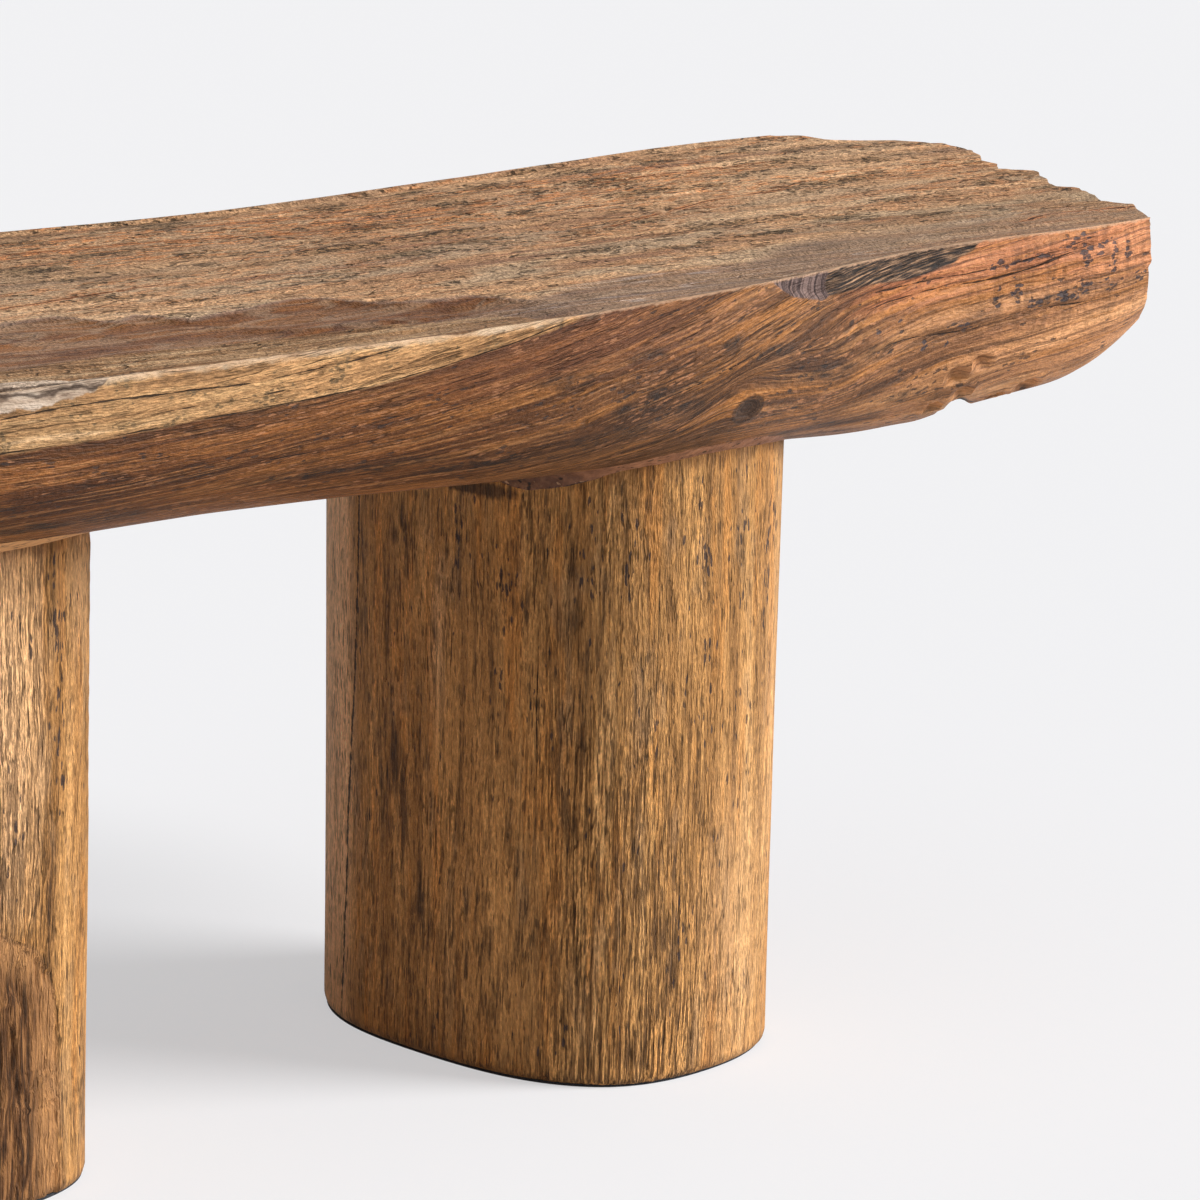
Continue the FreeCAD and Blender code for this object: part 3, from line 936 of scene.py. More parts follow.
    def slant(self, sheet: Sheet) -> Array:
        """Give how far points lie right of the slanting middle of the cavity near the sawn end."""
        return sheet.x - 444 - 0.6 * (sheet.front - 138)

    def from_hollow(self, sheet: Sheet) -> Array:
        """Give the distance from that cavity, 1 on its edge."""
        return off_spot(self.slant(sheet), sheet.front, (0, 146, 13, 50))

    def grain_level(self, sheet: Sheet) -> Array:
        """Give the level of the grain on the flanks: it stays the same along a fibre.

        Args:
            sheet: the plain round side.

        Returns:
            Level in millimetres.
        """
        x, front, back = sheet.x, sheet.front, sheet.back
        levels = [level for level, _ in GRAIN_LINES]
        lines = [along_line(line, x) for _, line in GRAIN_LINES]
        level = levels[0] + (front - lines[0])
        for place in range(len(lines) - 1):
            gap = np.maximum(lines[place + 1] - lines[place], 2)
            share = (front - lines[place]) / gap
            step = levels[place] + share * (levels[place + 1] - levels[place])
            level = np.where(front > lines[place], step, level)
        level = np.where(front > lines[-1], levels[-1] + (front - lines[-1]), level)
        knots = [(back, 0.75, knot) for knot in BACK_KNOTS] + [(front, -0.75, FRONT_KNOTS[1])]
        for run, bend, (at_x, at_s, wide, high) in knots:
            far = off_spot(x, run, (at_x, at_s, 3 * wide, 2.4 * high))
            level = level + bend * (run - at_s) * np.exp(-far * far)
        place = vectors(x, front, 0)
        return level + 3.2 * rough(place, (140, 60, 1), 71, 3) + 0.8 * rough(place, (34, 16, 1), 72, 2)

    def cap(self, side: int, above: Array, below: Array) -> Array:
        """Lay a sawn end between the last columns of the two skins.

        Args:
            side: 1 for the right end, -1 for the left one.
            above: that column of the top's skin.
            below: that column of the round side's skin.

        Returns:
            Points of the end, from the top down.
        """
        share = np.linspace(0, 1, self.cap_rows + 1)[:, None, None]
        cap = between(above[None], below[None], share)
        hold = np.abs(2 * share[..., 0] - 1) ** 6
        cut = self.surface.cut_at(cap[..., 1], side)
        saw = 0.9 + 0.9 * rough(cap, (1, 24, 60), 91, 3) + 0.35 * np.sin(
            cap[..., 2] * 1.3 + cap[..., 1] * 0.12
        )
        cap[..., 0] = hold * cap[..., 0] + (1 - hold) * (cut - side * np.maximum(saw, 0))
        return cap

    def top_masks(self, sheet: Sheet) -> Masks:
        """Measure what the top's finish reads.

        Args:
            sheet: the plain top.

        Returns:
            Masks by name.
        """
        x, y, front = sheet.x, sheet.points[..., 1], sheet.front
        sapwood = along_line(SAPWOOD_ABOVE, x) - front
        strip = np.minimum(along_line(STRIP_BACK, x) - front, -sapwood)
        spots = [(at_x, at_y - PITTED_TILT * at_x, wide, tall) for at_x, at_y, wide, tall in PITTED_SPOTS]
        return {
            "sapwood": sapwood * MM,
            "rim": np.minimum(front, sheet.back + 2) * MM,
            "strip": np.minimum(strip, np.minimum(118 - x, x + 500) * 0.4) * MM,
            "band": np.minimum(along_line(BAND_BACK, x) - front, 60) * MM,
            "bleach": (along_pieces(BLEACH_TOP, x) - front) * MM,
            "crack": crack_field(TOP_CRACKS, x, y, 81),
            "pitted": strewn(x, y - PITTED_TILT * x, spots),
        }

    def side_masks(self, sheet: Sheet, level: Array) -> Masks:
        """Measure what the round side's finish reads.

        Args:
            sheet: the plain round side.
            level: level of the grain at each point.

        Returns:
            Masks by name.
        """
        x, front = sheet.x, sheet.front
        return {
            "sapwood": (along_line(SAPWOOD_BELOW, x) - front) * MM,
            "rim": np.minimum(front, sheet.back + 2) * MM,
            "crack": crack_field(FLANK_CRACKS, x, front, 81),
            "flow": vectors(x, level, 0) * MM,
            "bevel": np.minimum(along_pieces(SAWN_LOW, x) - front, (x - NOTCH_LEFT) * 0.6) * MM,
            "knot": np.minimum.reduce(self.from_knots(sheet)),
            "hollow": np.minimum(self.from_hollow(sheet), 6),
            "bleach": (along_pieces(BLEACH_SIDE, x) - front) * MM,
            "soot": strewn(x, front, SOOT_SPOTS),
            "blots": strewn(x, front, BLOT_SPOTS),
        }

    def share_borders(self, masks: Masks, others: Masks, over: Array) -> None:
        """Give a sheet the masks that only its neighbour has, with the same values at the rims.

        Args:
            masks: the sheet's own masks, columns by places across.
            others: the masks of the sheet that it meets at both rims.
            over: places across the sheet, 0 to 1.
        """
        for name, other in others.items():
            if name in masks:
                masks[name][:, [0, -1]] = other[:, [0, -1]]
            else:
                share = over.reshape((1, -1) + (1,) * (other.ndim - 2))
                masks[name] = between(other[:, :1], other[:, -1:], share)

    def build(self, top: Material, flank: Material, end: Material) -> Piece:
        """Build the whole seat.

        Args:
            top: finish of the flat top.
            flank: finish of the round side.
            end: finish of the sawn ends.

        Returns:
            The seat as one closed skin, with its masks.
        """
        over_top = spread(self.across, ((0, 3.2), (0.12, 2.4), (0.35, 1.2), (0.9, 1), (1, 1.8)))
        over_under = spread(self.across, ((0, 2.6), (0.12, 2.2), (0.3, 1.7), (0.5, 0.8), (1, 1.1)))
        upper, lower = self.top_sheet(over_top), self.side_sheet(over_under)
        level = self.grain_level(lower)
        middle_x, middle_y = lower.x.mean(1), lower.points[..., 1].mean(1)
        normal = grid_normals(lower.points, vectors(middle_x, middle_y, self.heart_height)[:, None])
        for sheet in (upper, lower):
            self.tear_ends(sheet.points)
        front_move, back_move = self.front_rim_move(upper.x[:, :1]), self.back_rim_move(upper.x[:, -1:])
        down = np.array([0, 0, -1])
        corners = [np.array(corner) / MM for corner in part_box("seat_slab")]
        skins = []
        carvings = ((upper, self.carve_top(upper), down), (lower, self.carve_under(lower, level), normal))
        for sheet, relief, way in carvings:
            near_front = np.exp(-((sheet.front / self.front_border) ** 2))[..., None]
            near_back = np.exp(-((sheet.back / self.back_border) ** 2))[..., None]
            moved = relief[..., None] * way * (1 - near_front) * (1 - near_back)
            skin = sheet.points + moved + near_front * front_move + near_back * back_move
            skins.append(np.clip(skin, *corners))
        caps = [self.cap(side, *(skin[column] for skin in skins)) for side, column in ((-1, 0), (1, -1))]

        above, below = self.top_masks(upper), self.side_masks(lower, level)
        for masks in (above, below):
            masks["crack"][:, [0, -1]] = NO_CRACK
            masks["bleach"][:, -1] = NO_BLEACH
        self.share_borders(above, below, over_top)
        self.share_borders(below, above, over_under)
        names = ("seat_top", "seat_side", "seat_end_left", "seat_end_right")
        finishes = (top, flank, end, end)
        sheets = [
            make_sheet(name, points * MM, finish)
            for name, points, finish in zip(names, skins + caps, finishes)
        ]
        part = np.linspace(0, 1, self.cap_rows + 1)
        for name, mask in above.items():
            share = part.reshape((-1,) + (1,) * (mask.ndim - 1))
            ends = [between(mask[column][None], below[name][column][None], share) for column in (0, -1)]
            for sheet, values in zip(sheets, [mask, below[name]] + ends):
                paint(sheet, name, values)
        return weld(sheets, "seat_slab_carved")


# Legs, fillers, dowels and felts

RIGHT_OUTLINE: Line = (
    (1.035, 0.005), (1.01, 0.54), (0.64, 0.96), (0.02, 1.045), (-0.62, 0.975), (-1.000, 0.56),
    (-1.035, 0.03), (-1.000, -0.57), (-0.65, -0.98), (-0.03, -1.05), (0.62, -0.97), (1.000, -0.56),
)
LEFT_OUTLINE: Line = (
    (1.03, 0.02), (0.99, 0.57), (0.62, 0.97), (0.000, 1.05), (-0.64, 0.96), (-1.01, 0.55), (-1.03, -0.03),
    (-0.99, -0.56), (-0.63, -0.97), (0.01, -1.045), (0.68, -1.000), (1.01, -0.64),
)
# How a leg swells from the floor up: share of its height, then of its size
LEG_SWELL: Line = ((0, 0.985), (0.45, 0.985), (1, 0.996))


class Side(Enum):
    """Which leg a piece belongs to."""

    RIGHT = 1
    LEFT = -1

    @property
    def word(self) -> str:
        """Give the word that piece names use."""
        return self.name.lower()


@dataclass
class StumpLeg:
    """One oval stump with its foot, wall and the filler above it, in millimetres."""

    side: Side
    outline: Line
    surface: SeatSurface
    out: float = 222.0
    inset: float = 6.0
    half_width: float = 99.0
    half_depth: float = 130.0
    turn: float = 11.7
    foot: float = 1.5
    blank_top: float = 399.6
    joint_share: float = 0.84
    around: int = 640
    wall_rows: int = 128
    filler_rows: int = 15
    filler_drop: float = 8.0
    side_reach: float = 10.0
    front_reach: float = 5.5
    hollow: float = 0.22

    def ring(self, height: Array) -> Array:
        """Give the leg's outline at one height for each sample round it.

        Args:
            height: share of the blank's height at each sample.

        Returns:
            Points in the seat's frame, without a height.
        """
        swell = along_line(LEG_SWELL, height)[:, None]
        unit = periodic_curve(np.array(self.outline), self.around)
        plain = unit * (np.array([self.half_width, self.half_depth]) * swell)
        angle = math.radians(self.turn)
        spin = np.array([[math.cos(angle), math.sin(angle)], [-math.sin(angle), math.cos(angle)]])
        return plain @ spin + np.array([self.side.value * self.out, -self.inset])

    def level_ring(self, share: float) -> Array:
        """Give the outline at one share of the blank's height."""
        return self.ring(np.full(self.around, share))

    def outward(self) -> Array:
        """Give the level unit normal at each sample round the leg."""
        ring = self.level_ring(0.8)
        tangent = np.roll(ring, -1, axis=0) - np.roll(ring, 1, axis=0)
        normal = vectors(tangent[:, 1], -tangent[:, 0])
        return normal / np.linalg.norm(normal, axis=-1, keepdims=True)

    def contact(self) -> Array:
        """Give the height where the wall meets the seat, at each sample."""
        return self.surface.underside_at(*self.level_ring(self.joint_share).T)

    def run(self) -> Array:
        """Give the distance round the leg to each sample, from its side that faces right."""
        ring = self.level_ring(0.5)
        step = np.linalg.norm(np.roll(ring, -1, axis=0) - ring, axis=-1)
        return np.concatenate([[0], np.cumsum(step)[:-1]])

    def weathering(self, points: Array, normal: Array, run: Array) -> Array:
        """Work out how far the wall stands out: grooves along the fibres and a gentle wander.

        Args:
            points: points of the plain wall.
            normal: outward level normals.
            run: distance round the leg.

        Returns:
            Height at each point, outwards.
        """
        coarse = self.coarse(points, run)
        seed = 110 if self.side is Side.RIGHT else 140
        sway = 3 * rough(points, (400, 400, 70), seed + 5, 2)
        warp = points + vectors(sway, sway, 0)
        out = 0.9 * rough(points, (120, 120, 260), seed, 2) + 1.1
        aside = normal[..., 0] * self.side.value
        low = ease(200 - points[..., 2], 0, 200) if self.side is Side.LEFT else 1
        out -= 2.2 * ease(-aside, 0.3, 0.95) * low
        groove = 1 - 2 * np.abs(rough(warp, (5, 5, 110), seed + 1, 3))
        out -= coarse * 0.6 * ease(groove, 0.35, 1)
        out -= coarse * 0.6 * ease(rough(warp, (2.8, 2.8, 60), seed + 3, 2), 0, 0.6)
        return out + self.scar(points, run) if self.side is Side.LEFT else out

    def coarse(self, points: Array, run: Array) -> Array:
        """Give how strongly the fibres stand out: most in a band low on the front.

        Args:
            points: points of the wall.
            run: distance round the leg.

        Returns:
            Strength, up to 1.
        """
        if self.side is Side.RIGHT:
            low = 0.3 + 0.7 * ease(-points[..., 2], -250, -170)
            band = ease(run, 372, 412) * ease(-run, -512, -474) * low
        else:
            band = 0.75 * ease(run, 430, 470) * ease(-run, -538, -526)
        patch = 0.8 + 0.4 * rough(points, (70, 70, 120), 190 + self.side.value, 2)
        return np.clip((0.12 + band) * patch, 0.08, 1)

    def scar(self, points: Array, run: Array) -> Array:
        """Sink the torn place low on the left leg and tear the fibres in it.

        Args:
            points: points of the wall.
            run: distance round the leg.

        Returns:
            Height at each point, outwards.
        """
        z = points[..., 2]
        torn = ease(self.scar_edge(z, run), 0, 2.5)
        place = vectors(run, z, 0)
        arcs = rough(place + 6 * rough(place, (26, 40, 1), 171, 2)[..., None], (7, 30, 1), 172, 2)
        ripples = rough(place, (30, 5.5, 1), 173, 2) * ease(z, 160, 230) * ease(run, 480, 500)
        return torn * (1.8 * arcs - 1.8) + 0.5 * ripples

    def scar_edge(self, z: Array, run: Array) -> Array:
        """Give how deep inside the torn place a point lies, below 0 outside it."""
        return np.minimum((along_pieces(SCAR_TOP, run) - z) * 0.9, np.minimum(run - 440, 539 - run))

    def gap_mask(self, run: Array) -> Array:
        """Give 1 where the right leg stops short of the seat, at its front left."""
        return bell(run, GAP_MIDDLE, GAP_WIDTH) if self.side is Side.RIGHT else np.zeros_like(run)

    def masks(self, points: Array, contact: Array, run: Array) -> Masks:
        """Measure what the leg's finish reads.

        Args:
            points: points of the whole skin.
            contact: height where the wall meets the seat.
            run: distance round the leg.

        Returns:
            Masks by name.
        """
        z, name = points[..., 2], self.side.name
        run = np.broadcast_to(run, z.shape)
        return {
            "coarse": self.coarse(points, run),
            # Stains together with the painted shade, shadow and rim light of the table.
            "stain_and_painted_light": strewn(run, z, LEG_STAINS_AND_LIGHT[name]),
            "flecks": strewn(run, z, LEG_FLECKS[name]),
            "contact": np.minimum(contact - z, 80) * MM,
            "crack": crack_field(LEG_CRACKS[name], z, run, 181),
            "torn": (self.scar_edge(z, run) if self.side is Side.LEFT else 0 * z - 20) * MM,
        }

    def build(self, finish: Material) -> Piece:
        """Build the leg as one closed skin.

        Args:
            finish: material of the leg.

        Returns:
            The leg, with its masks.
        """
        contact, normal, run = self.contact(), self.outward(), self.run()
        base = self.foot + 1
        rows = []
        for share in np.linspace(0, 1, self.wall_rows + 1):
            z = base + (contact + 2 - base) * share
            rows.append(np.column_stack([self.ring((z - self.foot) / (self.blank_top - self.foot)), z]))
        wall = np.stack(rows)
        z = wall[..., 2]
        wide = np.broadcast_to(normal, wall.shape[:2] + (2,))
        far = np.broadcast_to(run, wall.shape[:2])
        out = self.weathering(wall, wide, far)
        out -= self.gap_mask(far) * 4 * ease(z, contact - 9, contact - 2)
        out -= 0.8 * np.exp(-(((z - base) / 1.6) ** 2))
        wall[..., :2] += out[..., None] * wide
        middle = np.array([self.side.value * self.out, -self.inset])
        sole, crown = [], []
        for share in SOLE_SHARES:
            ring = middle + (wall[0, :, :2] - middle) * share
            sole.append(np.column_stack([ring, np.full(self.around, self.foot)]))
        for share in CROWN_SHARES:
            ring = middle + (wall[-1, :, :2] - middle) * share
            z = self.surface.underside_at(*ring.T) + 3
            crown.append(np.column_stack([ring, z if share else np.full(self.around, z.mean())]))
        skin = np.stack(sole + list(wall) + crown)
        sheet = make_sheet(f"leg_{self.side.word}_sheet", closed(skin) * MM, finish)
        for name, values in self.masks(skin, contact, run).items():
            paint(sheet, name, closed(values))
        return weld([sheet], f"leg_{self.side.word}_stump")

    def build_filler(self, finish: Material) -> Piece:
        """Build the crust that rounds the corner between leg and seat.

        Args:
            finish: material of the filler.

        Returns:
            The filler as one closed skin.
        """
        contact, normal, run = self.contact(), self.outward(), self.run()
        ring = self.level_ring(self.joint_share)
        angle = math.radians(self.turn)
        facing = np.abs(normal @ np.array([math.cos(angle), math.sin(angle)]))
        place = np.column_stack([ring, contact])
        wander, crumbs = rough(place, (34, 34, 60), 201, 3), rough(place, (15, 15, 30), 202, 2)
        front, gap = ease(run, 395, 440) * ease(-run, -650, -570), self.gap_mask(run)
        wider = front * (8 if self.side is Side.RIGHT else 22)
        drop = self.filler_drop + 3 * facing**3 + 2.2 * wander + 1.1 * crumbs
        drop = drop * (1 - 0.75 * gap) * (1 - 0.66 * front)
        reach = self.side_reach * facing + self.front_reach * (1 - facing)
        reach = (reach + (1 + front) * wander + 0.5 * crumbs + wider) * (1 - 0.6 * gap)

        def moved(away: Union[float, Array], z: Array) -> Array:
            """Give the ring at a distance out from the wall and a height."""
            return np.column_stack([ring + normal * (away + 0 * reach)[:, None], z])

        outer_z = self.surface.underside_at(*moved(reach, contact)[:, :2].T)
        rows = []
        for t in np.linspace(0, 1, self.filler_rows):
            low, corner, high = (1 - t) ** 2, 2 * t * (1 - t), t * t
            away = low * 0.3 + corner * self.hollow * reach + high * reach
            z = low * (contact - drop) + corner * (contact - self.hollow * drop) + high * outer_z
            bumps = rough(moved(away, z), (5, 5, 4), 203, 3) * 0.9 * (4 * t * (1 - t)) ** 0.5
            rows.append(moved(away + bumps, z + 0.3 * bumps))
        rows += [
            moved(0.6 * reach, outer_z + 2.5), moved(-3, contact + 2.5), moved(-3.5, contact - drop),
            rows[0],
        ]
        skin = closed(np.stack(rows))
        sheet = make_sheet(f"joint_filler_{self.side.word}_sheet", skin * MM, finish)
        steps = np.repeat(np.linspace(0, 1, len(rows))[:, None], self.around + 1, axis=1)
        paint(sheet, "up", steps)
        for name, around in (("front", front), ("gap", gap)):
            paint(sheet, name, np.broadcast_to(np.append(around, around[0]), steps.shape))
        return weld([sheet], f"joint_filler_{self.side.word}_crust")


# How high the torn place reaches round the left leg: distance round it, then height
SCAR_TOP: Line = ((425, 0), (450, 96), (478, 150), (505, 147), (520, 136), (531, 122), (537, 104), (542, 0))
# Where the right leg's gap lies round it, and the rings that close a leg below and above
GAP_MIDDLE = 349
GAP_WIDTH = 20
SOLE_SHARES = (0, 0.3, 0.6, 0.85, 0.965, 0.992)
CROWN_SHARES = (0.99, 0.94, 0.75, 0.45, 0.2, 0)
# Upright cracks: height and distance round the leg; then where each is open, and its half width
LEG_CRACKS: Dict[str, Cracks] = {
    "RIGHT": (
        (((0, 241), (74, 246), (142, 249), (202, 254), (400, 259)), 2, 320, 1.2),
        (((0, 331), (400, 336)), 218, 250, 0.5),
        (((0, 343), (400, 350)), 252, 290, 0.3),
        (((0, 391), (400, 391)), 168, 250, 0.35),
        (((0, 457), (400, 457)), 215, 300, 0.3),
        (((0, 507), (400, 507)), 250, 292, 0.5),
    ),
    "LEFT": (
        (((0, 474), (400, 478)), 180, 300, 0.35),
        (((0, 556), (400, 558)), 60, 112, 0.35),
    ),
}
# Soft stains with painted light and shade, below 0 where the leg is paler, and clusters of dark flecks:
# distance round the leg, height, half sizes and strength. On the right leg the paler spot at 226 is a
# painted rim light, the dark one at 349 high up a painted shadow in the gap under the seat, and the one at
# 330 low down painted shade.
LEG_STAINS_AND_LIGHT: Dict[str, Sequence[Row]] = {
    "RIGHT": (
        (291, 166, 4, 24, 1), (298, 134, 4, 26, 1), (313, 90, 4, 24, 0.9), (320, 70, 3, 18, 0.7),
        (280, 150, 14, 60, 0.4), (262, 294, 8, 50, 0.45), (264, 226, 7, 50, 0.4), (300, 300, 16, 40, 0.3),
        (374, 290, 5, 30, 0.5), (362, 250, 6, 40, 0.35), (394, 304, 3, 30, 0.6), (384, 268, 3, 10, 0.6),
        (410, 290, 3, 36, 0.5), (418, 246, 4, 40, 0.55), (427, 262, 3, 34, 0.5), (403, 240, 3, 40, 0.4),
        # (349, 328): a painted shadow in the gap under the seat.
        (338, 300, 4, 30, 0.5), (349, 328, 26, 3.5, 1.8), (357, 98, 8, 30, 0.35), (349, 50, 8, 30, 0.35),
        (384, 70, 9, 40, 0.4), (462, 90, 8, 30, 0.6), (450, 114, 7, 24, 0.4), (470, 58, 7, 24, 0.5),
        (436, 26, 14, 16, 0.35), (488, 154, 4, 22, 0.5), (100, 200, 20, 90, 0.6), (640, 120, 16, 80, 0.5),
        # (226, 150): a painted rim light along the left edge; (330, 50): painted shade low on the shaded
        # side.
        (226, 150, 20, 400, -2.6), (324, 236, 5, 40, -0.4), (560, 200, 18, 150, -0.2),
        (520, 80, 26, 80, -0.3), (330, 50, 60, 60, 0.45),
    ),
    "LEFT": (
        (531, 295, 4, 50, 0.6), (533, 170, 6, 40, 0.7), (537, 230, 5, 60, 0.5), (521, 110, 12, 30, 0.5),
        (500, 50, 30, 70, 0.7), (300, 150, 20, 90, 0.6), (90, 220, 16, 70, 0.5), (500, 280, 36, 120, -0.6),
        (560, 330, 16, 50, -0.5), (562, 60, 18, 70, 0.3),
    ),
}
LEG_FLECKS: Dict[str, Sequence[Row]] = {
    "RIGHT": (
        (445, 314, 4, 14, 0.8), (440, 286, 5, 24, 0.8), (482, 326, 10, 14, 0.8), (485, 290, 9, 14, 1),
        (516, 314, 5, 30, 0.7), (550, 314, 8, 30, 0.9), (516, 270, 5, 30, 0.7), (541, 266, 7, 40, 0.8),
        (488, 242, 9, 14, 0.7), (465, 274, 3, 40, 0.5), (528, 206, 9, 60, 0.5), (460, 200, 16, 60, 0.4),
        (505, 150, 12, 60, 0.4), (548, 120, 10, 80, 0.45), (480, 90, 14, 60, 0.45), (338, 300, 3, 30, 0.9),
        (374, 280, 12, 30, 0.6), (300, 250, 30, 60, 0.3), (420, 300, 16, 40, 0.5), (60, 250, 30, 60, 0.6),
    ),
    "LEFT": (
        (537, 310, 5, 40, 1), (540, 240, 5, 60, 0.7), (515, 300, 12, 40, 0.6), (508, 200, 14, 60, 0.5),
        (556, 250, 5, 120, 0.4), (200, 250, 30, 60, 0.6),
    ),
}


# Studio


@dataclass
class Studio:
    """The camera of the photograph, a plain pale floor and soft lights."""

    focal_share: float = 5808.0 / 1200
    pitch: float = 14.019
    azimuth: float = -34.853
    roll: float = 1.175
    place: Tuple[float, float, float] = (-1.5454, -2.5933, 1.0254)
    sensor: float = 36.0
    far_clip: float = 100.0
    floor_size: float = 80.0
    fill: float = 0.13
    floor_glow: float = 0.54

    def set_camera(self) -> None:
        """Set up the camera."""
        a, e, r = (math.radians(v) for v in (self.azimuth, self.pitch, self.roll))
        forward = Vector((-math.sin(a) * math.cos(e), math.cos(a) * math.cos(e), -math.sin(e)))
        level = Vector((math.cos(a), math.sin(a), 0))
        upright = level.cross(forward)
        right = math.cos(r) * level + math.sin(r) * upright
        up = -math.sin(r) * level + math.cos(r) * upright
        data = bpy.data.cameras.new("camera")
        data.sensor_width = self.sensor
        data.lens = self.focal_share * self.sensor
        data.clip_end = self.far_clip
        camera = bpy.data.objects.new("camera", data)
        bpy.context.scene.collection.objects.link(camera)
        turn = Matrix((right, up, -forward)).transposed().to_4x4()
        camera.matrix_world = Matrix.Translation(self.place) @ turn
        bpy.context.scene.camera = camera

    def set_lights(self) -> None:
        """Add the key from the right, a soft top light and the pale surroundings."""
        lamps = (("key", 4.5, 26, (-0.7, 0.5, -0.51)), ("top", 0.55, 70, (-0.1, 0.25, -1)))
        for name, strength, spread_angle, aim in lamps:
            data = bpy.data.lights.new(name, "SUN")
            data.energy = strength
            data.angle = math.radians(spread_angle)
            lamp = bpy.data.objects.new(name, data)
            bpy.context.scene.collection.objects.link(lamp)
            lamp.rotation_euler = Vector(aim).to_track_quat("-Z", "Y").to_euler()
        world = bpy.data.worlds.new("surroundings")
        bpy.context.scene.world = world
        pen = Pen(world)
        pale = pen.shader("Background", Color=PAPER, Strength=1)
        fill = pen.shader("Background", Color=DAYLIGHT, Strength=self.fill)
        pen.close(pen.shader("MixShader", pen.seen(), fill, pale))

    def set_floor(self) -> None:
        """Lay the floor: pale, brightened a little for the camera so that shadows stay light."""
        bpy.ops.object.select_all(action="DESELECT")
        bpy.ops.mesh.primitive_plane_add(size=self.floor_size)
        floor = bpy.context.active_object
        floor.name = "floor"
        material = bpy.data.materials.new("floor")
        pen = Pen(material)
        glow = pen.shader("Emission", Color=FLOOR_GLOW, Strength=1)
        diffuse = pen.shader("BsdfDiffuse", Color=FLOOR_PAINT)
        above = pen.shader("MixShader", pen.times(pen.seen(), self.floor_glow), diffuse, glow)
        backfacing = pen.node("ShaderNodeNewGeometry").outputs["Backfacing"]
        pen.close(pen.shader("MixShader", backfacing, above, pen.shader("BsdfTransparent")))
        floor.data.materials.append(material)

    def build(self) -> None:
        """Build the whole studio."""
        self.set_camera()
        self.set_lights()
        self.set_floor()
        bpy.context.scene.view_settings.view_transform = "Standard"


# Materials

# Layers of the weathered wood: length and width against the group's own, step of the seed,
# contrast and detail
WEATHER_LAYERS: Sequence[Row] = (
    (1, 1, 0, 4.8, 1),
    (0.4, 1.1, 4.1, 4, 3),
    (9, 3, 1.3, 3, 3),
    (9, 5.5, 2.9, 1, 2),
    (6, 9, 6.3, 3, 1),
)


def tone(red: float, green: float, blue: float) -> Row:
    """Turn screen values from 0 to 255 into a linear colour."""
    shares = [value / 255 for value in (red, green, blue)]
    return tuple(s / 12.92 if s <= 0.04045 else ((s + 0.055) / 1.055) ** 2.4 for s in shares) + (1,)


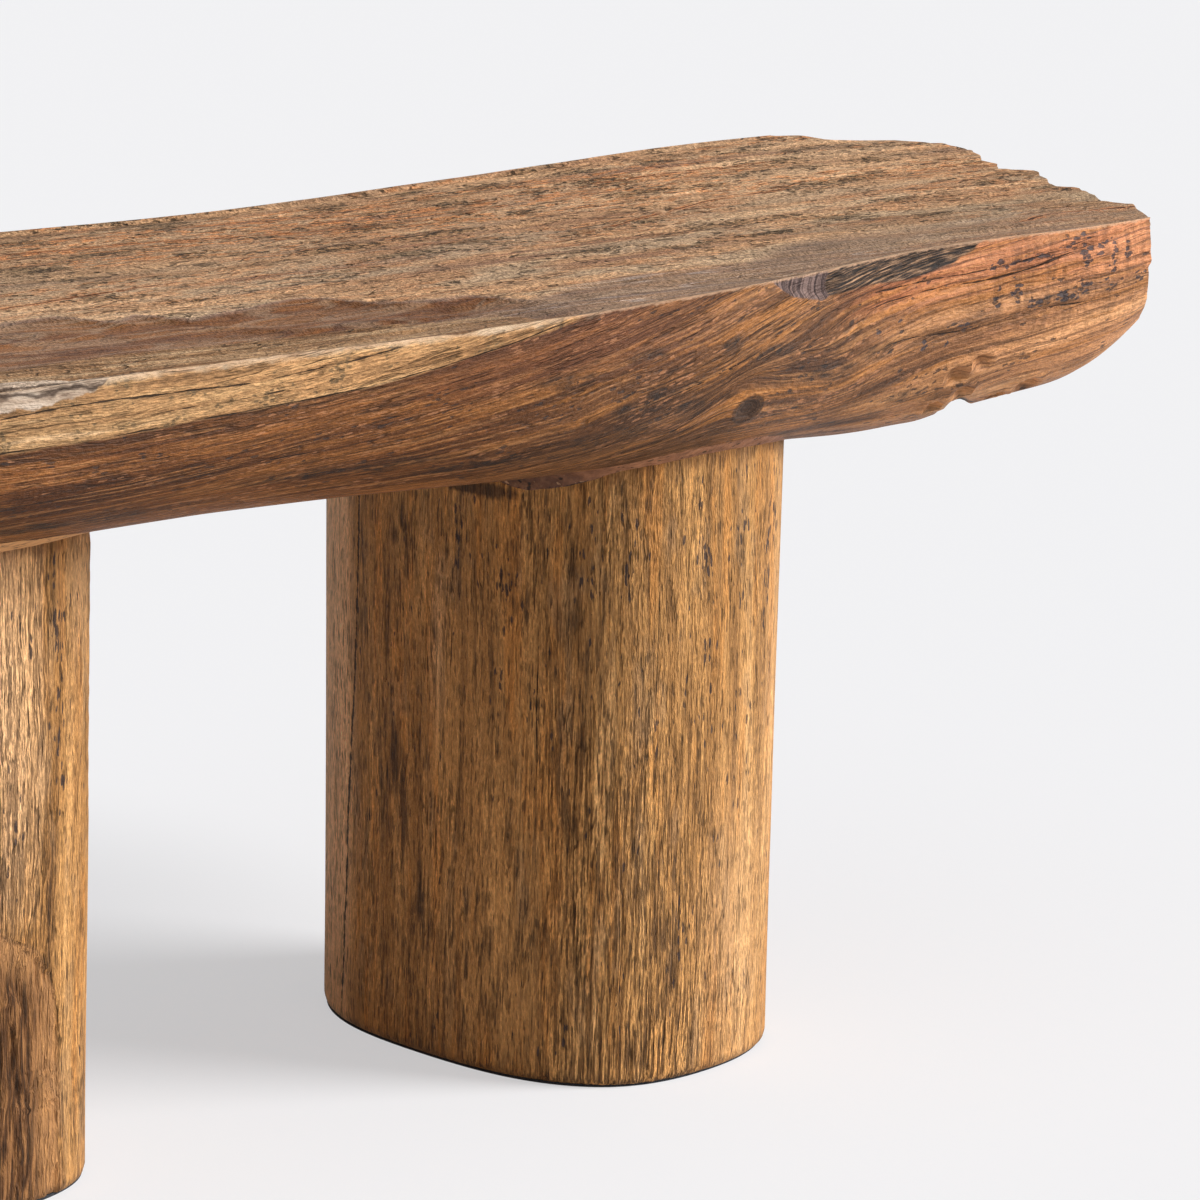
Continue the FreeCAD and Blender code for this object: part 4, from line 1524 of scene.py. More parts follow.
class Pen:
    """A pen that draws the nodes of one material or group.

    It holds the colour laid so far, which over, cover, dim and wear change, and the coordinates
    of the grain, whose X runs along the fibres. Colours are sockets or three screen values.
    """

    def __init__(self, owner: Union[Material, bpy.types.World, Tree]) -> None:
        """Start an empty tree, with an output if it is a material's or a world's.

        Args:
            owner: what the nodes are for.
        """
        self.colour: Feed = (0, 0, 0)
        self.grain: Optional[Socket] = None
        self.tree = owner
        if not isinstance(owner, Tree):
            owner.use_nodes = True
            self.tree = owner.node_tree
            self.tree.nodes.clear()
            kind = "Material" if isinstance(owner, Material) else "World"
            self.output = self.node(f"ShaderNodeOutput{kind}")

    def node(self, kind: str, feeds: Union[Sequence[Feed], Dict] = (), **settings: object) -> Node:
        """Add a node.

        Args:
            kind: its type.
            feeds: what goes into its inputs, in their order or by name or number.
            settings: its properties.

        Returns:
            The node.
        """
        made = self.tree.nodes.new(kind)
        for name, value in settings.items():
            setattr(made, name, value)
        for name, value in feeds.items() if isinstance(feeds, dict) else enumerate(feeds):
            self.feed(made.inputs[name], value)
        return made

    def feed(self, socket: Socket, value: Feed) -> None:
        """Link a socket to another, or set its own value.

        Args:
            socket: an input.
            value: what goes into it.
        """
        if isinstance(value, Socket):
            self.tree.links.new(value, socket)
        else:
            socket.default_value = value

    def close(self, shader: Socket) -> None:
        """Lead a shader to the output."""
        self.feed(self.output.inputs["Surface"], shader)

    def shader(self, kind: str, *feeds: Feed, **values: Feed) -> Socket:
        """Add a shader node, fed in order or by name."""
        return self.node(f"ShaderNode{kind}", values or feeds).outputs[0]

    def math(self, operation: str, *values: Feed, clamp: bool = False) -> Socket:
        """Add a Math node on up to three values."""
        return self.node("ShaderNodeMath", values, operation=operation, use_clamp=clamp).outputs[0]

    def add(self, first: Feed, second: Feed) -> Socket:
        """Add two values."""
        return self.math("ADD", first, second)

    def less(self, first: Feed, second: Feed) -> Socket:
        """Take the second value from the first."""
        return self.math("SUBTRACT", first, second)

    def most(self, first: Feed, second: Feed) -> Socket:
        """Give the larger of two values."""
        return self.math("MAXIMUM", first, second)

    def fit(self, value: Feed, factor: Feed, start: Feed) -> Socket:
        """Multiply a value by a factor and add a start."""
        return self.math("MULTIPLY_ADD", value, factor, start)

    def times(self, *values: Feed) -> Socket:
        """Multiply values."""
        return reduce(lambda total, value: self.math("MULTIPLY", total, value), values)

    def flip(self, value: Feed) -> Socket:
        """Turn 0 into 1 and 1 into 0."""
        return self.less(1, value)

    def vector(self, operation: str, first: Feed, second: Feed) -> Socket:
        """Add a Vector Math node on two vectors, or a vector and a number for SCALE."""
        feeds = {0: first, "Scale" if operation == "SCALE" else 1: second}
        made = self.node("ShaderNodeVectorMath", feeds, operation=operation)
        return made.outputs["Value" if operation == "LENGTH" else "Vector"]

    def rise(self, value: Feed, low: Feed, high: Feed) -> Socket:
        """Rise smoothly from 0 at low to 1 at high."""
        feeds = {"Value": value, "From Min": low, "From Max": high}
        return self.node("ShaderNodeMapRange", feeds, interpolation_type="SMOOTHSTEP").outputs["Result"]

    def near(self, value: Feed, target: Feed, width: float) -> Socket:
        """Give 1 where a value meets a target, falling to 0 at a width from it."""
        return self.rise(self.math("ABSOLUTE", self.less(value, target)), width, width * 0.2)

    def attribute(self, name: str, output: str = "Fac") -> Socket:
        """Read an attribute of the mesh."""
        return self.node("ShaderNodeAttribute", attribute_name=name).outputs[output]

    def place(self) -> Socket:
        """Read Object coordinates."""
        return self.node("ShaderNodeTexCoord").outputs["Object"]

    def split(self, vector: Socket) -> Sequence[Socket]:
        """Take a vector apart."""
        return self.node("ShaderNodeSeparateXYZ", (vector,)).outputs[:]

    def join(self, x: Feed, y: Feed = 0, z: Feed = 0) -> Socket:
        """Put a vector together."""
        return self.node("ShaderNodeCombineXYZ", (x, y, z)).outputs[0]

    def noise(self, vector: Socket, scale: float, detail: Feed = 3.0, roughness: float = 0.55) -> Socket:
        """Add plain noise, 0 to 1 around 0.5."""
        feeds = {"Vector": vector, "Scale": scale, "Detail": detail, "Roughness": roughness}
        return self.node("ShaderNodeTexNoise", feeds).outputs["Fac"]

    def fuzz(self, scale: float, reach: float) -> Socket:
        """Give noise that wanders round 0 within about half a reach."""
        return self.times(self.less(self.noise(self.place(), scale), 0.5), reach)

    def edge(self, value: Feed, scale: float, reach: float, low: float, high: float) -> Socket:
        """Rise from low to high along a border that fuzz makes ragged."""
        return self.rise(self.add(value, self.fuzz(scale, reach)), low, high)

    def group(self, tree: Tree, **values: Feed) -> Node:
        """Place a node group and feed its named inputs."""
        return self.node("ShaderNodeGroup", values, node_tree=tree)

    def fibre(
        self, length: Feed, width: Feed, seed: Feed, *look: float, along: Optional[Socket] = None
    ) -> Socket:
        """Place the grain group, which draws streaks.

        Args:
            length: their length in metres.
            width: their width in metres.
            seed: picks the pattern.
            look: contrast and octaves, 2 where left out.
            along: coordinates whose X runs along them, if they don't follow the grain.

        Returns:
            Value from 0 to 1, around 0.5.
        """
        contrast, detail = look + (2, 2)[len(look) :]
        feeds = {"Length": length, "Width": width, "Seed": seed, "Contrast": contrast, "Detail": detail}
        return self.group(grain_group(), Vector=along or self.grain, **feeds).outputs[0]

    def streaks(self, length: Feed, width: Feed, seed: Feed, *settings: float) -> Socket:
        """Place the grain group and let its streaks rise between the last two settings."""
        return self.rise(self.fibre(length, width, seed, *settings[:-2]), *settings[-2:])

    def seam(self, length: float, width: float, seed: float, target: float, reach: float) -> Socket:
        """Draw thin lines where smooth streaks meet a value."""
        return self.near(self.fibre(length, width, seed, 1, 1), target, reach)

    def flecks(self, length: float, width: float, seed: float, amount: Feed) -> Socket:
        """Place the group of small crisp spots."""
        feeds = {"Length": length, "Width": width, "Seed": seed, "Amount": amount}
        return self.group(fleck_group(), Vector=self.grain, **feeds).outputs[0]

    def crack(self, wobble: Socket, widen: float = 1.0) -> Socket:
        """Place the crack group on the painted crack field."""
        field = self.attribute("crack", "Vector")
        return self.group(crack_group(), Field=field, Wobble=wobble, Widen=widen).outputs[0]

    def ramp(self, share: Feed, *stops: Row) -> Socket:
        """Add a colour ramp.

        Args:
            share: place to read.
            stops: a place and three screen values each.

        Returns:
            The colour.
        """
        made = self.node("ShaderNodeValToRGB", (share,))
        band = made.color_ramp.elements
        while len(band) < len(stops):
            band.new(0.5)
        for element, (place, *colour) in zip(band, stops):
            element.position = place
            element.color = tone(*colour)
        return made.outputs[0]

    def mix(self, share: Feed, low: Feed, high: Feed) -> Socket:
        """Mix two colours."""
        low, high = (colour if isinstance(colour, Socket) else tone(*colour) for colour in (low, high))
        return self.node("ShaderNodeMix", {0: share, 6: low, 7: high}, data_type="RGBA").outputs[2]

    def tint(self, colour: Feed, mask: Feed, share: Feed, target: Feed) -> Socket:
        """Lay another colour over the first by a share of a mask."""
        return self.mix(self.times(mask, share), colour, target)

    def shade(self, colour: Feed, value: Feed, low: float, high: float) -> Socket:
        """Darken or brighten a colour: by low where the value is 0, by high where it is 1."""
        return self.vector("SCALE", colour, self.fit(value, high - low, low))

    def over(self, mask: Feed, share: Feed, target: Feed) -> None:
        """Tint the held colour."""
        self.colour = self.tint(self.colour, mask, share, target)

    def cover(self, mask: Feed, target: Feed) -> None:
        """Put another colour in the held one's place where a mask is 1."""
        self.colour = self.mix(mask, self.colour, target)

    def dim(self, value: Feed, low: float, high: float) -> None:
        """Shade the held colour."""
        self.colour = self.shade(self.colour, value, low, high)

    def wear(self, share: Feed, length: float, width: float, depth: Feed, seed: float) -> Socket:
        """Weather the held colour by a share and give its relief.

        Args:
            share: how strongly the colour is weathered.
            length: length of the dashes in metres.
            width: width of the dashes in metres.
            depth: how deep the thin checks are.
            seed: picks the pattern.

        Returns:
            Relief from 0 to 1.
        """
        feeds = {"Length": length, "Width": width, "Depth": depth, "Seed": seed}
        made = self.group(weather_group(), Vector=self.grain, **feeds)
        gain = self.fit(self.less(made.outputs["Gain"], 1), share, 1)
        self.colour = self.vector("SCALE", self.colour, gain)
        return made.outputs["Height"]

    def bleach(self) -> None:
        """Cover the pale worn patch over the front rim, with its rough crack."""
        mask = self.edge(self.attribute("bleach"), 110, 0.008, -0.0002, 0.0012)
        streaks = self.fibre(0.02, 0.006, 36, 2.8, 3)
        pale = self.ramp(streaks, (0, 128, 106, 88), (0.4, 186, 162, 140), (1, 214, 194, 174))
        bend = self.add(self.attribute("rim"), self.fuzz(45, 0.022))
        self.cover(mask, self.tint(pale, self.near(bend, 0.003, 0.0028), 0.85, (66, 50, 40)))

    def sink(self, height: Socket, *parts: Tuple[Socket, float]) -> Socket:
        """Lower a relief by a share of each part."""
        return reduce(lambda total, part: self.less(total, self.times(*part)), parts, height)

    def finish(self, roughness: Feed, height: Socket, depth: float, specular: float = 0.35) -> None:
        """Close a material with a Principled shader on the held colour, and a bump.

        Args:
            roughness: roughness.
            height: relief from 0 to 1.
            depth: metres between relief 0 and 1.
            specular: level of the plain reflection.
        """
        bump = self.shader("Bump", Strength=1, Distance=depth, Height=height)
        feeds = {"Base Color": self.colour, "Roughness": roughness, "Specular IOR Level": specular}
        self.close(self.node("ShaderNodeBsdfPrincipled", {**feeds, "Normal": bump}).outputs[0])

    def seen(self) -> Socket:
        """Give 1 where the camera, a reflection or glass looks straight at the surface."""
        path = self.node("ShaderNodeLightPath").outputs
        seen = self.most(path["Is Camera Ray"], path["Is Glossy Ray"])
        return self.most(seen, path["Is Transmission Ray"])

    def stretch(self, given: Node) -> Socket:
        """Scale a group's vector by its length and width and shift it by its seed.

        Args:
            given: node of its inputs.

        Returns:
            The vector.
        """
        across = self.math("DIVIDE", 1, given.outputs["Width"])
        size = self.join(self.math("DIVIDE", 1, given.outputs["Length"]), across, across)
        scaled = self.vector("MULTIPLY", given.outputs["Vector"], size)
        return self.vector("ADD", scaled, self.vector("SCALE", (17.3, 9.1, 5.7), given.outputs["Seed"]))

    def bend_fibres(self, along: Socket, across: Socket, deep: Feed) -> None:
        """Let the grain follow straight coordinates, bent in long waves and in short ones.

        Args:
            along: coordinate along the fibres.
            across: coordinate across them.
            deep: coordinate into the wood.
        """
        for long_way, wide_way, reach in ((3.4, 9, 0.022), (21, 60, 0.0035)):
            spot = self.join(
                self.times(along, long_way), self.times(across, wide_way), self.times(deep, wide_way)
            )
            shift = self.times(self.less(self.noise(spot, 1, 2, 0.4), 0.5), reach)
            across, deep = self.add(across, shift), self.add(deep, shift)
        self.grain = self.join(along, across, deep)


def open_group(name: str, inputs: str, outputs: str) -> Tuple[Pen, Node, Node]:
    """Open a node group.

    Args:
        name: its name.
        inputs: names of its inputs; Vector and Field are vectors, the others numbers.
        outputs: names of its outputs.

    Returns:
        The group's pen, and the nodes that give its inputs and take its outputs.
    """
    tree = bpy.data.node_groups.new(name, "ShaderNodeTree")
    for way, labels in (("INPUT", inputs), ("OUTPUT", outputs)):
        for label in labels.split():
            kind = "NodeSocketVector" if label in ("Vector", "Field") else "NodeSocketFloat"
            tree.interface.new_socket(name=label, in_out=way, socket_type=kind)
    pen = Pen(tree)
    return pen, pen.node("NodeGroupInput"), pen.node("NodeGroupOutput")


@cache
def grain_group() -> Tree:
    """Build the group that draws streaks along X."""
    pen, given, result = open_group("grain", "Vector Length Width Seed Contrast Detail", "Value")
    value = pen.less(pen.noise(pen.stretch(given), 1, given.outputs["Detail"], 0.6), 0.5)
    value = pen.math("MULTIPLY_ADD", value, given.outputs["Contrast"], 0.5, clamp=True)
    pen.feed(result.inputs[0], value)
    return pen.tree


@cache
def crack_group() -> Tree:
    """Build the group that turns a crack field into a thin rough line."""
    pen, given, result = open_group("crack", "Field Wobble Widen", "Mask")
    off, half, _ = pen.split(given.outputs["Field"])
    half = pen.times(half, given.outputs["Widen"], pen.fit(given.outputs["Wobble"], 3.4, -0.95))
    ratio = pen.math("DIVIDE", pen.math("ABSOLUTE", off), pen.most(half, 0.00001))
    pen.feed(result.inputs[0], pen.rise(ratio, 1.25, 0.45))
    return pen.tree


@cache
def fleck_group() -> Tree:
    """Build the group that strews crisp spots: the amount says how many there are and how large."""
    pen, given, result = open_group("flecks", "Vector Length Width Seed Amount", "Mask")
    scaled = pen.stretch(given)
    bend = pen.node("ShaderNodeTexNoise", {"Vector": scaled, "Scale": 1.7})
    shift = pen.vector("SUBTRACT", bend.outputs["Color"], (0.5, 0.5, 0.5))
    spot = pen.vector("ADD", scaled, pen.vector("SCALE", shift, 0.9))
    cell = pen.node("ShaderNodeTexVoronoi", {"Scale": 1, "Vector": spot})
    chance = pen.split(cell.outputs["Color"])[0]
    radius = pen.math("MINIMUM", pen.times(pen.less(given.outputs["Amount"], chance), 2), 0.6)
    spot = pen.math("MULTIPLY", pen.less(radius, cell.outputs["Distance"]), 7, clamp=True)
    pen.feed(result.inputs[0], spot)
    return pen.tree


@cache
def weather_group() -> Tree:
    """Build the group that weathers wood: crisp dashes, grit, streaks and thin checks."""
    pen, given, result = open_group("weather", "Vector Length Width Depth Seed", "Gain Height")
    pen.grain = given.outputs["Vector"]
    layers = []
    for long_way, wide_way, step, contrast, detail in WEATHER_LAYERS:
        length = pen.times(given.outputs["Length"], long_way)
        width = pen.times(given.outputs["Width"], wide_way)
        layers.append(pen.fibre(length, width, pen.add(given.outputs["Seed"], step), contrast, detail))
    dash, grit, streak, seam, gate = layers
    check = pen.times(pen.near(seam, 0.5, 0.03), pen.rise(gate, 0.45, 0.75), given.outputs["Depth"])
    gains = ((dash, 0.52, 0.74), (grit, 0.42, 0.79), (streak, 0.34, 0.83), (check, -0.6, 1))
    height = pen.fit(dash, 0.3, pen.fit(grit, 0.25, pen.times(streak, 0.3)))
    pen.feed(result.inputs[0], pen.times(*(pen.fit(*gain) for gain in gains)))
    pen.feed(result.inputs[1], pen.less(height, check))
    return pen.tree


@dataclass(frozen=True)
class Finish:
    """A finish that lays the nodes of one material."""

    name: str

    def make(self) -> Material:
        """Build the material."""
        material = bpy.data.materials.new(self.name)
        self.lay(Pen(material))
        return material

    def lay(self, pen: Pen) -> None:
        """Lay the nodes, which each finish does in its own way."""
        raise NotImplementedError


@dataclass(frozen=True)
class TopFinish(Finish):
    """Weathered flat top: brown with orange streaks, a grey weathered film that is partly painted sheen,
    dark worn patches, and painted highlights on the strip's ridges and the front rim.
    """

    name: str = "seat_top_weathered"

    def lay(self, pen: Pen) -> None:
        """Lay the nodes.

        Args:
            pen: pen of the material.
        """
        x, y, z = pen.split(pen.place())
        pen.bend_fibres(x, y, z)
        strip, sap, pitted = (pen.attribute(name) for name in ("strip", "sapwood", "pitted"))
        nibble = pen.fuzz(160, 0.006)
        inside = pen.rise(pen.add(strip, nibble), -0.0015, 0.0015)
        band = pen.rise(pen.add(pen.attribute("band"), nibble), -0.002, 0.012)
        smooth = pen.most(inside, pen.times(band, 0.75))
        back = pen.rise(y, -0.05, 0.1)

        pen.colour = pen.ramp(
            pen.fibre(0.28, 0.016, 1, 2.6, 3), (0, 142, 105, 81), (0.4, 180, 138, 102),
            (0.75, 200, 157, 118), (1, 220, 176, 135),
        )
        # The grey film is partly weathering and partly painted sheen.
        grey_film_and_sheen = pen.streaks(0.11, 0.028, 3, 2.4, 4, 0.36, 0.75)
        pen.over(grey_film_and_sheen, pen.fit(back, -0.35, 0.7), (181, 156, 127))
        pen.dim(pen.times(back, pen.rise(x, 0.35, -0.1)), 1, 0.72)
        pen.dim(pen.times(pen.rise(x, 0.28, 0.42), pen.rise(y, -0.02, -0.06)), 1, 0.82)
        ember = pen.streaks(0.014, 0.004, 2, 3.8, 3, 0.5, 0.8)
        glow = pen.streaks(0.16, 0.03, 14, 3, 0.28, 0.65)
        pen.over(pen.times(ember, glow), pen.fit(back, 0.45, 0.25), (204, 132, 80))
        clump = pen.streaks(0.055, 0.024, 5, 2.8, 3, 0.52, 0.9)
        clump = pen.times(clump, pen.rise(y, -0.14, -0.02))
        soiled = pen.most(pitted, pen.times(clump, 0.6))
        grit = pen.fibre(0.006, 0.005, 6, 3.4, 4)
        haze = pen.rise(pen.fit(grit, 0.7, soiled), 0.62, 1.25)
        pen.over(haze, 0.55, (98, 76, 48))
        gates = pen.flip(pen.times(smooth, 0.9))
        specks = pen.flecks(0.0038, 0.003, 12, pen.times(pen.fit(soiled, 0.7, 0.2), gates))
        lines = pen.flecks(0.016, 0.0028, 13, pen.times(pen.fit(glow, 0.22, 0.14), gates))
        pen.over(specks, 0.85, (58, 44, 30))
        pen.over(lines, 0.7, (84, 54, 34))

        bare = pen.ramp(
            pen.fibre(0.12, 0.012, 7, 2.6, 3), (0, 80, 47, 29), (0.4, 111, 67, 36), (0.75, 128, 80, 42),
            (1, 144, 97, 58),
        )
        # Pale lines on the strip's ridges: painted highlights.
        ridge_highlight = pen.most(pen.seam(0.15, 0.034, 15, 0.5, 0.045), pen.seam(0.12, 0.03, 18, 0.44, 0.03))
        ash = pen.streaks(0.1, 0.016, 21, 2.6, 3, 0.45, 0.8)
        bare = pen.tint(bare, ash, pen.fit(pen.rise(x, 0, -0.2), 0.3, 0.2), (136, 110, 84))
        bare = pen.tint(bare, ridge_highlight, 0.55, (150, 122, 98))
        bare = pen.tint(bare, pen.seam(0.14, 0.03, 19, 0.55, 0.022), 0.75, (72, 38, 24))
        pen.over(inside, 0.95, bare)
        # Grey-violet line along the strip's edge ridge: painted sheen.
        strip_crest_sheen = pen.near(pen.fit(nibble, 0.5, strip), 0.0002, 0.0042)
        pen.over(strip_crest_sheen, 0.45, (146, 122, 108))
        dusk = pen.ramp(
            pen.fibre(0.14, 0.007, 8, 2.8, 3), (0, 104, 80, 68), (0.45, 133, 105, 84), (0.8, 147, 119, 96),
            (1, 163, 137, 117),
        )
        # Thin violet-white lines on the band: painted highlights.
        dusk = pen.tint(dusk, pen.seam(0.22, 0.016, 16, 0.48, 0.014), 0.6, (184, 168, 160))
        dusk = pen.tint(dusk, pen.seam(0.18, 0.02, 20, 0.54, 0.016), 0.7, (92, 56, 34))
        pen.over(band, pen.fit(pen.rise(x, 0.28, 0.4), -0.36, 0.86), dusk)
        pale = pen.rise(pen.fit(nibble, 0.5, sap), -0.0004, 0.0012)
        straw = pen.ramp(
            pen.fibre(0.1, 0.005, 9, 2.8, 3), (0, 106, 74, 49), (0.4, 146, 110, 77), (1, 184, 152, 117)
        )
        pen.cover(pale, straw)
        pen.over(pen.near(sap, -0.0014, 0.0026), pen.rise(x, 0.1, 0.04), (92, 48, 32))

        pen.bleach()
        height = pen.wear(pen.fit(smooth, -0.4, 1), 0.0036, 0.0022, pen.fit(smooth, -0.5, 1), 10)
        wobble = pen.noise(pen.place(), 220)
        rusty = pen.times(pen.crack(wobble, 4), pen.noise(pen.place(), 90))
        crack = pen.crack(wobble)
        pen.over(rusty, 0.8, (206, 122, 66))
        pen.over(crack, 0.92, (44, 28, 20))
        # Paler line along the rims: edge wear and a painted highlight on the lit crest.
        worn = pen.edge(pen.attribute("rim"), 260, 0.0035, 0.0022, 0.0006)
        pen.over(worn, 0.5, (206, 172, 138))
        height = pen.sink(height, (specks, 0.8), (haze, 0.3), (crack, 1))
        pen.finish(pen.fit(smooth, -0.14, 0.68), height, 0.0012, 0.08)


@dataclass(frozen=True)
class FlankFinish(Finish):
    """Round side of the seat: pale sapwood over dark heartwood, orange at the sawn end, with a painted
    highlight along the front rim and painted shade in the cavity.
    """

    name: str = "seat_side_oiled"

    def lay(self, pen: Pen) -> None:
        """Lay the nodes.

        Args:
            pen: pen of the material.
        """
        x, level, _ = pen.split(pen.attribute("flow", "Vector"))
        pen.grain = pen.join(x, level)
        sap, rim, soot = (pen.attribute(name) for name in ("sapwood", "rim", "soot"))
        nibble = pen.times(pen.less(pen.fibre(0.02, 0.004, 26, 2), 0.5), 0.0016)

        broad = pen.fibre(0.22, 0.012, 21, 2.8, 3)
        left = pen.ramp(broad, (0, 77, 43, 19), (0.4, 108, 64, 31), (0.75, 125, 77, 38), (1, 150, 93, 46))
        middle = pen.ramp(broad, (0, 72, 44, 24), (0.4, 101, 66, 40), (0.75, 119, 79, 47), (1, 145, 98, 58))
        right = pen.ramp(
            broad, (0, 146, 98, 64), (0.4, 196, 137, 92), (0.75, 219, 157, 107), (1, 240, 182, 130)
        )
        drift = pen.times(pen.less(pen.fibre(0.1, 0.03, 22, 1.5), 0.5), 0.14)
        pen.colour = pen.mix(pen.rise(x, 0, 0.16), left, middle)
        pen.cover(pen.rise(pen.add(x, drift), 0.26, 0.5), right)
        glaze = pen.times(pen.rise(x, 0.28, 0.36), pen.rise(rim, 0.036, 0.022))
        pen.over(glaze, 0.4, (214, 128, 88))
        deep_end = pen.times(pen.rise(x, 0.3, 0.42), pen.rise(rim, 0.056, 0.1))
        pen.dim(deep_end, 1, 0.74)
        gold = pen.streaks(0.16, 0.0055, 23, 3.4, 3, 0.58, 0.9)
        pen.over(gold, pen.fit(pen.rise(x, 0, 0.2), 0.3, 0.3), (168, 109, 54))
        dusk = pen.streaks(0.09, 0.009, 24, 3.2, 3, 0.6, 0.95)
        pen.over(dusk, pen.fit(pen.rise(x, 0, 0.2), 0.25, 0.25), (70, 46, 32))
        hair = pen.fibre(0.07, 0.0013, 48, 4, 2)
        pen.over(pen.rise(hair, 0.72, 0.95), 0.55, (50, 31, 20))
        pen.over(pen.rise(hair, 0.24, 0.06), 0.3, (206, 146, 92))
        rosy = pen.times(pen.rise(x, -0.02, 0.04), pen.rise(x, 0.25, 0.12), pen.rise(rim, 0.045, 0.015))
        pen.over(rosy, 0.5, (100, 57, 38))
        pale = pen.rise(pen.add(sap, nibble), -0.0005, 0.001)
        straw = pen.ramp(
            pen.fibre(0.12, 0.007, 27, 2.6, 3), (0, 130, 94, 60), (0.4, 170, 127, 84),
            (0.8, 188, 146, 100), (1, 210, 170, 126),
        )
        straw = pen.shade(straw, pen.rise(x, -0.26, 0), 0.79, 1.22)
        pen.cover(pale, straw)
        mould = pen.streaks(0.022, 0.01, 37, 3, 3, 0.48, 0.85)
        spots = pen.flecks(0.0032, 0.0018, 38, pen.times(pale, pen.fit(mould, 0.62, 0.06)))
        pen.over(pen.times(pale, mould), 0.25, (128, 104, 70))
        pen.over(spots, 0.7, (92, 76, 54))
        pen.over(pen.near(sap, -0.0026, 0.005), 0.4, (66, 42, 26))

        calm = pen.fit(pen.rise(x, 0.26, 0.4), -0.2, 0.72)
        height = pen.wear(
            pen.most(calm, pen.times(pale, 0.9)), 0.0062, 0.0009,
            pen.fit(pen.rise(x, 0.28, 0.4), -0.6, 0.9), 29,
        )
        dark = pen.flip(pale)
        pinkish = pen.flecks(
            0.006, 0.001, 30, pen.times(dark, pen.streaks(0.06, 0.014, 39, 2.6, 0.25, 0.8), 0.5)
        )
        pen.over(pinkish, 0.5, (188, 130, 90))
        cluster = pen.streaks(0.05, 0.012, 40, 2.8, 3, 0.35, 0.85)
        pores = pen.flecks(
            0.0052, 0.0014, 31, pen.times(dark, pen.most(pen.times(cluster, 0.42), pen.times(soot, 0.5)))
        )
        pen.over(pores, 0.75, (50, 42, 40))
        pen.over(
            pen.times(pen.rise(soot, 0.1, 0.7), pen.fibre(0.012, 0.0026, 47, 3.4, 3)), 0.9, (44, 34, 28)
        )
        blots = pen.flecks(0.0058, 0.0018, 32, pen.times(pen.attribute("blots"), 1.3))
        pen.over(blots, 0.85, (62, 56, 60))
        bars = pen.fibre(0.03, 0.0042, 49, 3.4, 2, along=pen.join(level, x))
        pen.dim(pen.times(pen.rise(x, 0.385, 0.43), pen.rise(rim, 0.064, 0.05), bars), 1.1, 0.72)

        bevel = pen.rise(pen.add(pen.attribute("bevel"), nibble), -0.0004, 0.0012)
        char = pen.ramp(
            pen.fibre(0.016, 0.0012, 33, 3.8, 3), (0, 26, 21, 18), (0.45, 66, 50, 40), (0.75, 126, 96, 72),
            (1, 176, 138, 106),
        )
        char = pen.shade(char, pen.fibre(0.035, 0.0036, 50, 3.6), 0.36, 1.17)
        stripes = pen.fibre(0.6, 0.0022, 25, 4, 1, along=pen.join(level, x))
        sawn = pen.shade(
            pen.mix(stripes, (66, 50, 48), (134, 110, 102)), pen.noise(pen.place(), 900), 0.6, 1.4
        )
        pen.cover(bevel, pen.mix(pen.rise(x, 0.289, 0.291), sawn, char))
        knot = pen.attribute("knot")
        ring = pen.fibre(0.0016, 0.01, 34, 2.8, along=pen.join(pen.times(knot, 0.01)))
        knot_in = pen.rise(pen.fit(nibble, 160, knot), 1.12, 0.85)
        pen.cover(knot_in, pen.ramp(ring, (0, 44, 31, 24), (0.6, 76, 54, 40), (1, 100, 74, 54)))
        pen.over(pen.near(knot, 1.08, 0.2), 0.7, (46, 32, 24))
        # The cavity near the sawn end is filled with painted shade, nearly black.
        pen.cover(pen.rise(pen.attribute("hollow"), 1.15, 0.85), (26, 18, 14))
        crack = pen.crack(pen.fibre(0.02, 0.002, 35, 2))
        pen.over(crack, 0.92, (36, 24, 18))
        # Paler line along the rims: torn fibres and a painted highlight on the crest.
        torn = pen.edge(rim, 260, 0.003, 0.0018, 0.0004)
        crest_highlight_span = pen.times(
            pen.rise(x, -0.24, -0.16), pen.rise(x, 0.125, 0.095), pen.fibre(0.03, 0.02, 51, 3.4)
        )
        pen.over(torn, 0.6, (214, 172, 138))
        # Bright crest on the front rim over the sapwood: a painted highlight.
        lit = pen.edge(rim, 150, 0.004, 0.0042, 0.0016)
        pen.over(pen.times(lit, crest_highlight_span), 0.85, (232, 202, 168))
        pen.bleach()
        height = pen.sink(
            height,
            (pores, 0.3),
            (blots, 0.2),
            (crack, 1.3),
            (pen.times(pen.flip(stripes), bevel, pen.rise(x, 0.292, 0.287)), 0.5),
        )
        pen.finish(pen.fit(pale, 0.12, 0.52), height, 0.001, 0.17)


